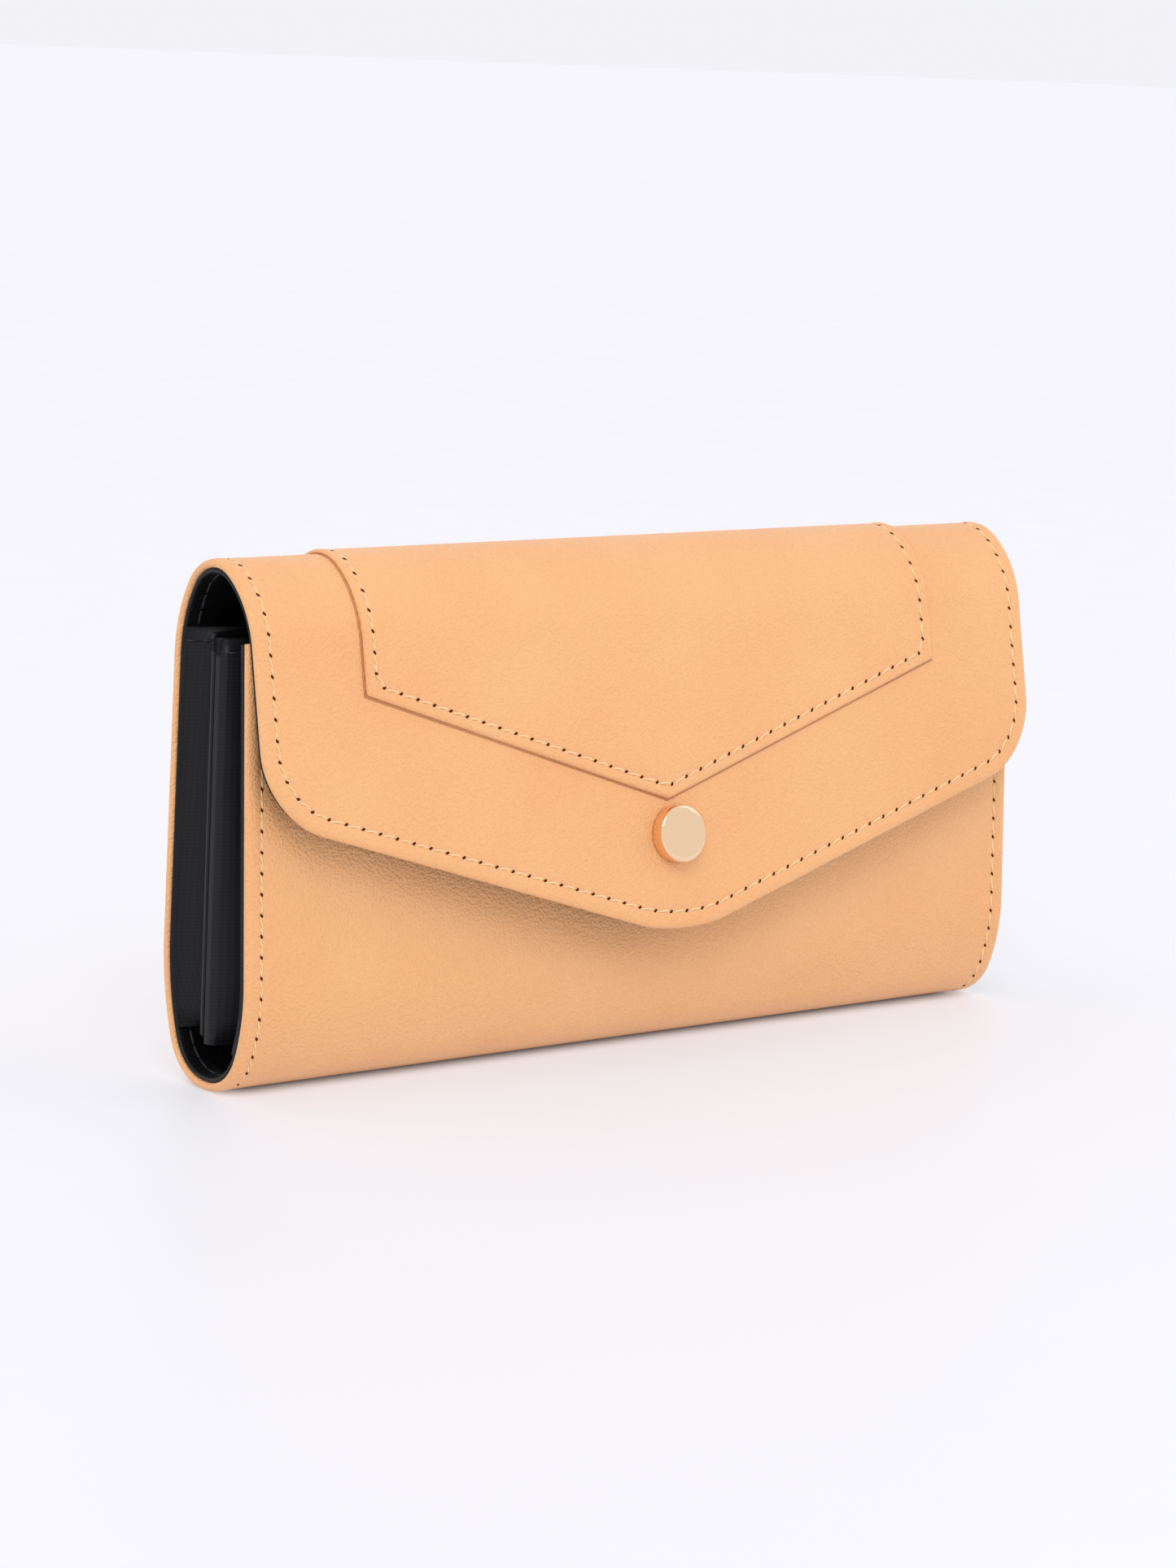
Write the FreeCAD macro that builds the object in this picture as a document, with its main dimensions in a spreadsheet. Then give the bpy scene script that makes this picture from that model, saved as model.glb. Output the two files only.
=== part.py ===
import FreeCAD, Part
import math
import os

# Long wallet: one leather shell runs from the front panel, under the rounded foot, up the back,
# over the crown and down the front as a pointed flap. Inside hang a zipped coin pocket, card slots
# on both walls and a pair of accordion gussets at each side.
#
# Frame: +X along the wallet's length, -Y out of the front, +Z up. The origin is on the flat strip
# that the wallet stands on. Every position along the shell is an arc length on its outer skin, and
# every depth is measured from that skin towards the inside.

SIZES = [
    ("shell_length", 195.0, "length of the shell along X"),
    ("leather_wall", 1.6, "leather with its turned edge, total thickness"),
    ("skin_thickness", 1.0, "leather over the board, which fills the rest of the wall"),
    ("lining_thickness", 0.5, "lining"),
    ("lining_setback", 1.2, "lining stops this far inside the shell's edge"),
    ("board_setback", 7.0, "board stops this far inside the shell's edge"),
    ("foot_front", 6.0, "front edge of the standing strip, forward of the origin"),
    ("foot_depth", 9.0, "width of the standing strip"),
    ("toe_radius", 4.5, "bend from the foot to the front"),
    ("toe_turn", 55.2, "degrees turned in the toe bend"),
    ("front_side_radius", 34.0, "gentle bend below the front panel"),
    ("front_lean", 3.0, "degrees that the front leans back"),
    ("front_rise", 64.7, "straight height of the front panel"),
    ("heel_radius", 6.7, "bend from the foot to the back"),
    ("heel_turn", 66.7, "degrees turned in the heel bend"),
    ("rear_side_radius", 57.8, "gentle bend below the back panel"),
    ("back_lean", 0.85, "degrees that the back leans forward"),
    ("back_rise", 55.0, "straight height of the back panel"),
    ("crown_rear_radius", 27.8, "rear shoulder of the crown"),
    ("crown_rear_turn", 31.65, "degrees turned in the rear shoulder"),
    ("crown_top_radius", 10.5, "top of the crown"),
    ("crown_top_turn", 89.65, "degrees turned over the top of the crown"),
    ("crown_front_turn", 14.5, "degrees turned from there to the front fold line"),
    ("brow_radius", 20.4, "front shoulder of the crown and the brow, down to the flap"),
    ("flap_lean", 11.3, "degrees that the flap stands out from the vertical"),
    ("flap_reach", 63.0, "brow to the sharp point of the flap's chevron"),
    ("flap_shoulder", 32.1, "brow to the sharp corner of the flap's side"),
    ("flap_corner_radius", 17.3, "rounding of the flap's side corners"),
    ("flap_tip_radius", 36.6, "rounding of the flap's tip"),
    ("overlay_length", 144.4, "length of the overlay panel along X"),
    ("overlay_thickness", 0.7, "overlay leather"),
    ("overlay_reach", 35.0, "brow to the overlay's point"),
    ("overlay_shoulder", 10.1, "brow to the overlay's side corner"),
    ("overlay_back_drop", 16.0, "overlay's run down the back, below the crown"),
    ("snap_reach", 42.1, "brow to the snap's centre"),
    ("cap_radius", 5.75, "snap cap"),
    ("cap_height", 3.3, "snap cap"),
    ("cap_chamfer", 0.35, "snap cap's rim"),
    ("rivet_radius", 1.4, "snap rivet posts"),
    ("rivet_hole_radius", 1.5, "holes for the rivet posts"),
    ("rivet_flange_radius", 4.0, "hidden flange of the stud's rivet"),
    ("rivet_flange_height", 0.5, "hidden flange of the stud's rivet"),
    ("rivet_flange_gap", 0.1, "gap round the hidden flange, in the front's board"),
    ("socket_flange_radius", 5.2, "snap socket's flange"),
    ("socket_flange_height", 0.6, "snap socket's flange"),
    ("socket_radius", 4.3, "snap socket's barrel"),
    ("socket_height", 4.2, "snap socket, flange and barrel"),
    ("socket_bore_radius", 2.9, "mouth of the socket"),
    ("socket_bore_depth", 2.3, "mouth of the socket"),
    ("spring_radius", 2.6, "inside of the socket's ring spring"),
    ("spring_height", 0.5, "ring spring's wire"),
    ("spring_gap", 1.6, "split in the ring spring"),
    ("spring_level", 0.8, "ring spring's depth inside the socket's mouth"),
    ("stud_base_radius", 4.4, "snap stud's base"),
    ("stud_base_height", 0.7, "snap stud's base"),
    ("stud_radius", 1.7, "snap stud's post"),
    ("stud_height", 4.2, "snap stud, base and post"),
    ("pocket_centre", -0.4, "coin pocket's middle plane along Y"),
    ("pocket_length", 192.0, "coin pocket along X"),
    ("pocket_thickness", 4.0, "coin pocket over its walls"),
    ("pocket_wall", 0.7, "coin pocket's outer walls"),
    ("pocket_lining", 0.3, "coin pocket's inner lining"),
    ("pocket_bottom", 12.0, "underside of the coin pocket"),
    ("pocket_top", 78.0, "top edge of the coin pocket's walls"),
    ("tape_thickness", 0.4, "zip tape"),
    ("tape_bottom", 66.0, "lower edge of the zip tape, inside the pocket"),
    ("tape_top", 79.6, "upper edge of the zip tape, under the coil"),
    ("coil_width", 1.7, "one zip coil across"),
    ("coil_height", 1.8, "one zip coil"),
    ("coil_slot", 0.8, "slot between the coils, for the slider's post"),
    ("post_width", 0.5, "slider's post, in the slot"),
    ("zip_length", 154.0, "zip coils along X"),
    ("tape_end", 6.0, "zip tape past each end of the coils"),
    ("stop_length", 3.0, "zip end stop along X"),
    ("stop_wall", 0.5, "zip end stop over the coils"),
    ("slider_start", -70.0, "slider's centre with the zip closed"),
    ("slider_length", 9.0, "zip slider along X"),
    ("slider_width", 6.8, "zip slider across"),
    ("slider_plate", 1.0, "slider's plates and side flanges"),
    ("slider_gap", 0.2, "running gap over the coils"),
    ("bridge_length", 6.0, "slider's loop along X"),
    ("bridge_width", 1.4, "slider's loop across"),
    ("bridge_height", 2.6, "slider's loop over its plate"),
    ("puller_reach", 13.0, "slider's centre to the puller's tip"),
    ("puller_tail", 1.4, "slider's centre back to the puller's other end"),
    ("puller_bar", 1.0, "puller's end bar, which turns inside the loop"),
    ("puller_window", 4.4, "window that the loop's top passes through"),
    ("window_width", 2.24, "the same window, across"),
    ("puller_width", 4.2, "puller across"),
    ("puller_thickness", 0.9, "puller"),
    ("puller_lift", 0.4, "gap between the puller and the slider's deck"),
    ("loop_leg", 1.0, "legs of the slider's loop along X"),
    ("loop_bar", 0.9, "top bar of the slider's loop"),
    ("keel_width", 1.4, "slider's plate under the coils"),
    ("gusset_thickness", 0.6, "gusset cloth"),
    ("gusset_crease", 0.9, "gusset cloth at its fold, along X"),
    ("gusset_depth", 10.0, "inward fold of a gusset"),
    ("gusset_edge", 96.0, "gussets' outer edges along X"),
    ("gusset_bottom", 12.0, "lower end of the gussets"),
    ("gusset_top", 87.4, "upper end of the gussets"),
    ("gusset_gap", 0.35, "gap between a gusset and the walls"),
    ("card_length", 176.0, "card slots along X"),
    ("card_backing", 0.4, "cloth behind the card slots"),
    ("card_tier", 0.45, "one tier of card slots"),
    ("card_step", 11.0, "step from one tier's mouth to the next"),
    ("card_margin", 3.0, "top of the card backing, below the panel's top"),
    ("card_lead", 4.0, "first tier's mouth, below the backing's top"),
    ("card_foot", 1.5, "bottom of the card slots, above the panel's lower end"),
    ("fold_gap", 0.05, "flap's fold lines, outside the overlay"),
    ("mouth_gap", 0.1, "mouth's hinge line, outside the toe"),
]
CARD_TIERS = 4
CUTTER = 40.0  # how far a cutting shape reaches past what it cuts, in mm
TOUCHING = 1e-6  # ends nearer than this meet, in mm
FACE_STEPS = 200  # places looked at along a run when a wall's face is found by height

doc = FreeCAD.newDocument("LongWallet")
sheet = doc.addObject("Spreadsheet::Sheet", "Sizes")
for row, (alias, value, note) in enumerate(SIZES, start=1):
    sheet.set(f"A{row}", note)
    sheet.set(f"B{row}", str(value))
    sheet.setAlias(f"B{row}", alias)
doc.recompute()


def size(alias):
    return float(sheet.get(alias))


# ---------------------------------------------------------------- the shell's outer line
class Run:
    """One straight or bent stretch of the shell's outer skin, in the YZ plane."""

    def __init__(self, start, heading, length, turn):
        self.start, self.heading = start, heading
        self.length, self.turn = length, turn

    def direction(self, s):
        angle = math.radians(self.heading + self.turn * s / self.length)
        return math.cos(angle), math.sin(angle)

    def point(self, s, depth):
        """The point at arc length s and this depth; the inside lies to the left."""
        dy, dz = self.direction(s)
        if not self.turn:
            y, z = self.start[0] + dy * s, self.start[1] + dz * s
            return y - dz * depth, z + dy * depth
        radius = self.length / math.radians(self.turn)
        hy, hz = self.direction(0)
        centre_y = self.start[0] - hz * radius
        centre_z = self.start[1] + hy * radius
        return centre_y + dz * (radius - depth), centre_z - dy * (radius - depth)

    def edge(self, s0, s1, depth):
        ends = [FreeCAD.Vector(*self.point(s, depth), 0) for s in (s0, (s0 + s1) / 2, s1)]
        if not self.turn:
            return Part.LineSegment(ends[0], ends[2])
        return Part.Arc(*ends)


def shell_runs():
    """The whole outer line, from the front panel's top edge to the flap's point."""
    toe, heel = size("toe_turn"), size("heel_turn")
    front_heading = 270 - size("front_lean")
    to_vertical = 90 + size("back_lean") - heel
    crown_end = 90 + size("back_lean") + size("crown_rear_turn") + size("crown_top_turn")
    crown_end += size("crown_front_turn")
    moves = [
        ("front", size("front_rise"), 0),
        ("front_side", size("front_side_radius"), 360 - toe - front_heading),
        ("toe", size("toe_radius"), toe),
        ("foot", size("foot_depth"), 0),
        ("heel", size("heel_radius"), heel),
        ("rear_side", size("rear_side_radius"), to_vertical),
        ("back", size("back_rise"), 0),
        ("crown_rear", size("crown_rear_radius"), size("crown_rear_turn")),
        ("crown_top", size("crown_top_radius"), size("crown_top_turn")),
        ("crown_front", size("brow_radius"), size("crown_front_turn")),
        ("brow", size("brow_radius"), 270 - size("flap_lean") - crown_end),
        ("flap", size("flap_reach"), 0),
    ]
    runs, point, heading = {}, (0.0, 0.0), front_heading
    for name, amount, turn in moves:
        length = amount * math.radians(turn) if turn else amount
        runs[name] = Run(point, heading, length, turn)
        point = runs[name].point(length, 0)
        heading += turn
    # the foot lies at the bottom, so the whole line moves until it does
    shift_y = -size("foot_front") - runs["foot"].start[0]
    shift_z = -runs["foot"].start[1]
    for run in runs.values():
        run.start = (run.start[0] + shift_y, run.start[1] + shift_z)
    return runs


RUNS = shell_runs()


def whole(*names):
    return [(name, 0, RUNS[name].length) for name in names]


def band(spans, outer, inner):
    """The closed outline of a sheet that follows the shell between two depths."""
    outline = [RUNS[name].edge(s0, s1, outer) for name, s0, s1 in spans]
    back = [RUNS[name].edge(s1, s0, inner) for name, s0, s1 in reversed(spans)]
    first, last = spans[0], spans[-1]
    start = [FreeCAD.Vector(*RUNS[first[0]].point(first[1], d), 0) for d in (inner, outer)]
    end = [FreeCAD.Vector(*RUNS[last[0]].point(last[2], d), 0) for d in (outer, inner)]
    return outline + [Part.LineSegment(*end)] + back + [Part.LineSegment(*start)]


# ---------------------------------------------------------------- building blocks
def sketch_in(body, role, geometry, name):
    """A sketch on one of the body's own origin planes."""
    sketch = body.newObject("Sketcher::SketchObject", name)
    plane = [f for f in body.Origin.OriginFeatures if f.Role == role][0]
    sketch.AttachmentSupport = [(plane, "")]
    sketch.MapMode = "FlatFace"
    sketch.addGeometry(geometry, False)
    return sketch


def padded_body(label, role, geometry, length_expression):
    """A body padded to both sides of an origin plane."""
    body = doc.addObject("PartDesign::Body", label)
    body.Label = label
    sketch = sketch_in(body, role, geometry, label + "_sketch")
    pad = body.newObject("PartDesign::Pad", label + "_pad")
    pad.Profile = sketch
    pad.Midplane = True
    pad.setExpression("Length", length_expression)
    body.Tip = pad
    return body


def shell_sheet(label, spans, outer, inner, length_expression):
    return padded_body(label, "YZ_Plane", band(spans, outer, inner), length_expression)


def boolean(kind, label, base, tool):
    result = doc.addObject(kind, label)
    result.Label = label
    result.Base, result.Tool = base, tool
    return result


def rounded(corners):
    """A closed outline through (x, z, radius) corners, with tangent arcs at the round ones."""
    ends, arcs = [], []
    for i, (x, z, radius) in enumerate(corners):
        here = FreeCAD.Vector(x, z, 0)
        before = FreeCAD.Vector(*corners[i - 1][:2], 0) - here
        after = FreeCAD.Vector(*corners[(i + 1) % len(corners)][:2], 0) - here
        if not radius:
            ends.append((here, here))
            continue
        half = before.getAngle(after) / 2
        before.normalize()
        after.normalize()
        reach = radius / math.tan(half)
        middle = (before + after).normalize() * (radius / math.sin(half) - radius)
        first, second = here + before * reach, here + after * reach
        ends.append((first, second))
        arcs.append(Part.Arc(first, here + middle, second))
    lines = [
        Part.LineSegment(ends[i - 1][1], ends[i][0])
        for i in range(len(ends))
        if (ends[i - 1][1] - ends[i][0]).Length > TOUCHING
    ]
    return lines + arcs


def flap_height(reach):
    """Height of a point on the flap, from its distance below the brow."""
    return RUNS["flap"].point(reach, 0)[1]


def chevron(label, half_length, shoulder, reach, corner_radius, tip_radius, inset=0.0):
    """A prism across the flap: everything inside its pointed outline, set in by inset."""
    slope = math.atan2(reach - shoulder, half_length)
    tip = flap_height(reach) + inset / math.cos(slope)
    side = half_length - inset
    corner = tip + side * math.tan(slope)
    high = RUNS["crown_top"].start[1] + CUTTER
    outline = rounded([
        (-side, high, 0),
        (-side, corner, max(corner_radius - inset, 0)),
        (0, tip, max(tip_radius - inset, 0)),
        (side, corner, max(corner_radius - inset, 0)),
        (side, high, 0),
    ])
    return padded_body(label, "XZ_Plane", outline, "Sizes.shell_length")


def flap_outline(label, inset):
    return chevron(
        label, size("shell_length") / 2, size("flap_shoulder"), size("flap_reach"),
        size("flap_corner_radius"), size("flap_tip_radius"), inset,
    )


def cylinder(label, radius, height, base="0"):
    """A cylinder along +Z from base; every argument is an expression."""
    shape = doc.addObject("Part::Cylinder", label)
    shape.setExpression("Radius", radius)
    shape.setExpression("Height", height)
    shape.setExpression("Placement.Base.z", base)
    return shape


def box(label, length, width, height, centre_x, centre_y, base):
    """A box centred on X and Y that stands on base; every argument is an expression."""
    shape = doc.addObject("Part::Box", label)
    shape.Label = label
    shape.setExpression("Length", length)
    shape.setExpression("Width", width)
    shape.setExpression("Height", height)
    shape.setExpression("Placement.Base.x", f"({centre_x}) - ({length}) / 2")
    shape.setExpression("Placement.Base.y", f"({centre_y}) - ({width}) / 2")
    shape.setExpression("Placement.Base.z", base)
    return shape


def fuse(label, *shapes):
    result = doc.addObject("Part::MultiFuse", label)
    result.Label = label
    result.Shapes = list(shapes)
    return result


def across(run_name, s, depth):
    """A placement on the shell whose +Z points out of the skin, +X along the wallet."""
    y, z = RUNS[run_name].point(s, depth)
    dy, dz = RUNS[run_name].direction(s)
    outward = FreeCAD.Vector(0, dz, -dy)
    side = FreeCAD.Vector(1, 0, 0)
    turn = FreeCAD.Rotation(side, outward.cross(side), outward, "ZXY")
    return FreeCAD.Placement(FreeCAD.Vector(0, y, z), turn)


WALL = size("leather_wall")
SKIN = size("skin_thickness")
LINING = WALL + size("lining_thickness")
SETBACK = size("lining_setback")
BOARD_SETBACK = size("board_setback")
LINING_LENGTH = "Sizes.shell_length - 2 * Sizes.lining_setback"
BOARD_LENGTH = "Sizes.shell_length - 2 * Sizes.board_setback"
FRONT_RISE, BACK_RISE = size("front_rise"), size("back_rise")
pieces = []


# ---------------------------------------------------------------- snap
# Snap centres: on the flap below the overlay's point, and on the front panel behind it.
flap_snap = across("flap", size("snap_reach"), 0)
front_run = RUNS["front"]
snap_y, snap_z = RUNS["flap"].point(size("snap_reach"), LINING + size("socket_height"))
front_s = (front_run.start[1] - snap_z) / math.cos(math.radians(size("front_lean")))
front_snap = across("front", front_s, 0)


def snap_pieces():
    through = "Sizes.leather_wall + Sizes.lining_thickness"
    disc = cylinder("cap_disc", "Sizes.cap_radius", "Sizes.cap_height")
    doc.recompute()
    rim = doc.addObject("Part::Chamfer", "cap_rim")
    rim.Base = disc
    top = max(range(1, 4), key=lambda i: disc.Shape.Edges[i - 1].CenterOfMass.z)
    rim.Edges = [(top, size("cap_chamfer"), size("cap_chamfer"))]
    post = cylinder("cap_post", "Sizes.rivet_radius", through, f"-({through})")
    cap = fuse("snap_cap", rim, post)

    depth = f"{through} + Sizes.socket_height"
    flange = cylinder(
        "socket_flange", "Sizes.socket_flange_radius", "Sizes.socket_flange_height",
        f"-({through}) - Sizes.socket_flange_height",
    )
    barrel = cylinder("socket_barrel", "Sizes.socket_radius", "Sizes.socket_height", f"-({depth})")
    bore = cylinder("socket_bore", "Sizes.socket_bore_radius", "Sizes.socket_bore_depth", f"-({depth})")
    socket = boolean("Part::Cut", "snap_socket", fuse("socket_blank", flange, barrel), bore)

    level = f"-({depth}) + Sizes.spring_level"
    ring = cylinder("spring_ring", "Sizes.socket_bore_radius", "Sizes.spring_height", level)
    eye = cylinder("spring_eye", "Sizes.spring_radius", "Sizes.spring_height", level)
    split = box(
        "spring_split", "Sizes.spring_gap", "2 * Sizes.socket_bore_radius",
        "Sizes.spring_height", "0", "Sizes.socket_bore_radius", level,
    )
    closed_ring = boolean("Part::Cut", "spring_closed", ring, eye)
    spring = boolean("Part::Cut", "snap_spring", closed_ring, split)

    base = cylinder("stud_base", "Sizes.stud_base_radius", "Sizes.stud_base_height")
    stem = cylinder("stud_stem", "Sizes.stud_radius", "Sizes.stud_height")
    stud = fuse("snap_stud", base, stem)

    pin = cylinder(
        "rivet_pin", "Sizes.rivet_radius", "Sizes.skin_thickness + Sizes.rivet_flange_height",
        "-Sizes.skin_thickness - Sizes.rivet_flange_height",
    )
    head = cylinder(
        "rivet_head", "Sizes.rivet_flange_radius", "Sizes.rivet_flange_height",
        "-Sizes.skin_thickness - Sizes.rivet_flange_height",
    )
    rivet = fuse("snap_rivet", pin, head)
    for piece in (cap, socket, spring):
        piece.Placement = flap_snap
    for piece in (stud, rivet):
        piece.Placement = front_snap
    return [cap, socket, spring, stud, rivet]


def drilled(label, blank, radius, placement):
    """A sheet with the snap's hole through it; the radius is an expression."""
    drill = doc.addObject("Part::Cylinder", label + "_drill")
    drill.setExpression("Radius", radius)
    drill.Height = CUTTER
    below = FreeCAD.Placement(FreeCAD.Vector(0, 0, -CUTTER / 2), FreeCAD.Rotation())
    drill.Placement = placement.multiply(below)
    return boolean("Part::Cut", label, blank, drill)


pieces += snap_pieces()


# ---------------------------------------------------------------- leather shell and its boards
def shell_pieces():
    made = []
    hole = "Sizes.rivet_hole_radius"
    back_spans = whole("back", "crown_rear")
    back_blank = shell_sheet("back_blank", back_spans, 0, WALL, "Sizes.shell_length")
    board_span = [("back", BOARD_SETBACK / 2, BACK_RISE - BOARD_SETBACK / 2)]
    back_board = shell_sheet("back_board", board_span, SKIN, WALL, BOARD_LENGTH)
    made += [boolean("Part::Cut", "back_leather", back_blank, back_board), back_board]

    bottom_spans = whole("toe", "foot", "heel", "rear_side")
    made.append(shell_sheet("bottom_leather", bottom_spans, 0, WALL, "Sizes.shell_length"))
    crown_spans = whole("crown_top", "crown_front")
    made.append(shell_sheet("crown_leather", crown_spans, 0, WALL, "Sizes.shell_length"))

    front_blank = shell_sheet("front_blank", whole("front", "front_side"), 0, WALL, "Sizes.shell_length")
    board_span = [("front", BOARD_SETBACK, FRONT_RISE - BOARD_SETBACK / 2)]
    front_plain = shell_sheet("front_board_blank", board_span, SKIN, WALL, BOARD_LENGTH)
    front_cut = boolean("Part::Cut", "front_cut", front_blank, front_plain)
    made.append(drilled("front_leather", front_cut, hole, front_snap))
    wide = "Sizes.rivet_flange_radius + Sizes.rivet_flange_gap"
    made.append(drilled("front_board", front_plain, wide, front_snap))

    flap_spans = whole("brow", "flap")
    flap_sheet = shell_sheet("flap_sheet", flap_spans, 0, WALL, "Sizes.shell_length")
    flap_blank = boolean("Part::Common", "flap_blank", flap_sheet, flap_outline("flap_outer", 0))
    board_span = [("flap", BOARD_SETBACK / 2, RUNS["flap"].length)]
    board_sheet = shell_sheet("flap_board_sheet", board_span, SKIN, WALL, BOARD_LENGTH)
    board_outline = flap_outline("flap_board_outline", BOARD_SETBACK)
    flap_plain = boolean("Part::Common", "flap_board_blank", board_sheet, board_outline)
    flap_cut = boolean("Part::Cut", "flap_cut", flap_blank, flap_plain)
    made.append(drilled("flap_leather", flap_cut, hole, flap_snap))
    made.append(drilled("flap_board", flap_plain, hole, flap_snap))
    return made


def lining_pieces():
    bottom_spans = whole("toe", "foot", "heel", "rear_side")
    made = [
        shell_sheet("back_lining", whole("back", "crown_rear"), WALL, LINING, LINING_LENGTH),
        shell_sheet("bottom_lining", bottom_spans, WALL, LINING, LINING_LENGTH),
        shell_sheet("crown_lining", whole("crown_top", "crown_front"), WALL, LINING, LINING_LENGTH),
    ]
    front_spans = [("front", SETBACK, FRONT_RISE)] + whole("front_side")
    made.append(shell_sheet("front_lining", front_spans, WALL, LINING, LINING_LENGTH))
    flap_sheet = shell_sheet(
        "flap_lining_sheet", whole("brow", "flap"), WALL, LINING, LINING_LENGTH
    )
    outline = flap_outline("flap_lining_outline", SETBACK)
    flap_blank = boolean("Part::Common", "flap_lining_blank", flap_sheet, outline)
    made.append(drilled("flap_lining", flap_blank, "Sizes.rivet_hole_radius", flap_snap))
    return made


def overlay_pieces():
    """The chevron panel sewn over the flap, the crown and the top of the back."""
    thickness, length = size("overlay_thickness"), "Sizes.overlay_length"
    back_spans = [("back", BACK_RISE - size("overlay_back_drop"), BACK_RISE)] + whole("crown_rear")
    made = [
        shell_sheet("back_overlay", back_spans, -thickness, 0, length),
        shell_sheet("crown_overlay", whole("crown_top", "crown_front"), -thickness, 0, length),
    ]
    flap_sheet = shell_sheet(
        "overlay_sheet", whole("brow", "flap"), -thickness, 0, length
    )
    outline = chevron(
        "overlay_outline", size("overlay_length") / 2, size("overlay_shoulder"),
        size("overlay_reach"), 0, 0,
    )
    made.append(boolean("Part::Common", "flap_overlay", flap_sheet, outline))
    return made


pieces += shell_pieces() + lining_pieces() + overlay_pieces()


# ---------------------------------------------------------------- card slots
def card_pieces():
    """On each wall a cloth backing and stepped tiers, each tier lower and nearer the middle."""
    made = []
    backing, tier, step = size("card_backing"), size("card_tier"), size("card_step")
    for wall, rise in (("back", BACK_RISE), ("front", FRONT_RISE)):
        top, foot = size("card_margin"), size("card_foot")

        def span(drop):
            """From the foot of the slots up to this far below the panel's top."""
            if wall == "back":
                return [("back", foot, rise - drop)]
            return [("front", drop, rise - foot)]

        depth = LINING
        name = f"{wall}_card_backing"
        made.append(shell_sheet(name, span(top), depth, depth + backing, "Sizes.card_length"))
        depth += backing
        for i in range(CARD_TIERS):
            name = f"{wall}_card_tier_{i + 1}"
            drop = top + size("card_lead") + i * step
            made.append(shell_sheet(name, span(drop), depth, depth + tier, "Sizes.card_length"))
            depth += tier
    return made


pieces += card_pieces()


# ---------------------------------------------------------------- zipped coin pocket
def pocket_pieces():
    """Two walls with a folded lining between them, and the zip along the top."""
    made = []
    half = "Sizes.pocket_thickness / 2"
    inner_half = f"({half} - Sizes.pocket_wall)"
    for side, sign in (("rear", 1), ("front", -1)):
        made.append(box(
            f"coin_{side}_wall", "Sizes.pocket_length", "Sizes.pocket_wall",
            "Sizes.pocket_top - Sizes.pocket_bottom", "0",
            f"Sizes.pocket_centre + {sign} * ({half} - Sizes.pocket_wall / 2)", "Sizes.pocket_bottom",
        ))
        made.append(box(
            f"zip_{side}_tape", "Sizes.zip_length + 2 * Sizes.tape_end", "Sizes.tape_thickness",
            "Sizes.tape_top - Sizes.tape_bottom", "0",
            f"Sizes.pocket_centre + {sign} * ({inner_half} - Sizes.tape_thickness / 2)",
            "Sizes.tape_bottom",
        ))
        made.append(box(
            f"zip_{side}_coil", "Sizes.zip_length", "Sizes.coil_width", "Sizes.coil_height", "0",
            f"Sizes.pocket_centre + {sign} * (Sizes.coil_slot + Sizes.coil_width) / 2", "Sizes.tape_top",
        ))
    outer = box(
        "coin_lining_block", "Sizes.pocket_length", f"2 * {inner_half}",
        "Sizes.tape_bottom - Sizes.pocket_bottom", "0", "Sizes.pocket_centre", "Sizes.pocket_bottom",
    )
    inner = box(
        "coin_lining_space", "2 * Sizes.pocket_length",
        f"2 * ({inner_half} - Sizes.pocket_lining)", "Sizes.tape_bottom - Sizes.pocket_bottom", "0",
        "Sizes.pocket_centre", "Sizes.pocket_bottom + Sizes.pocket_lining",
    )
    made.append(boolean("Part::Cut", "coin_lining", outer, inner))

    stops = []
    width = "2 * (Sizes.coil_width + Sizes.stop_wall) + Sizes.coil_slot"
    cover = "Sizes.coil_height + Sizes.stop_wall"
    for end, sign in (("closed", -1), ("open", 1)):
        place = f"{sign} * (Sizes.zip_length + Sizes.stop_length) / 2"
        stops.append(box(
            f"stop_{end}", "Sizes.stop_length", width, cover, place, "Sizes.pocket_centre",
            "Sizes.tape_top",
        ))
    ends = doc.addObject("Part::Compound", "zip_end_stops")
    ends.Label = "zip_end_stops"
    ends.Links = stops
    made.append(ends)
    return made


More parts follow.
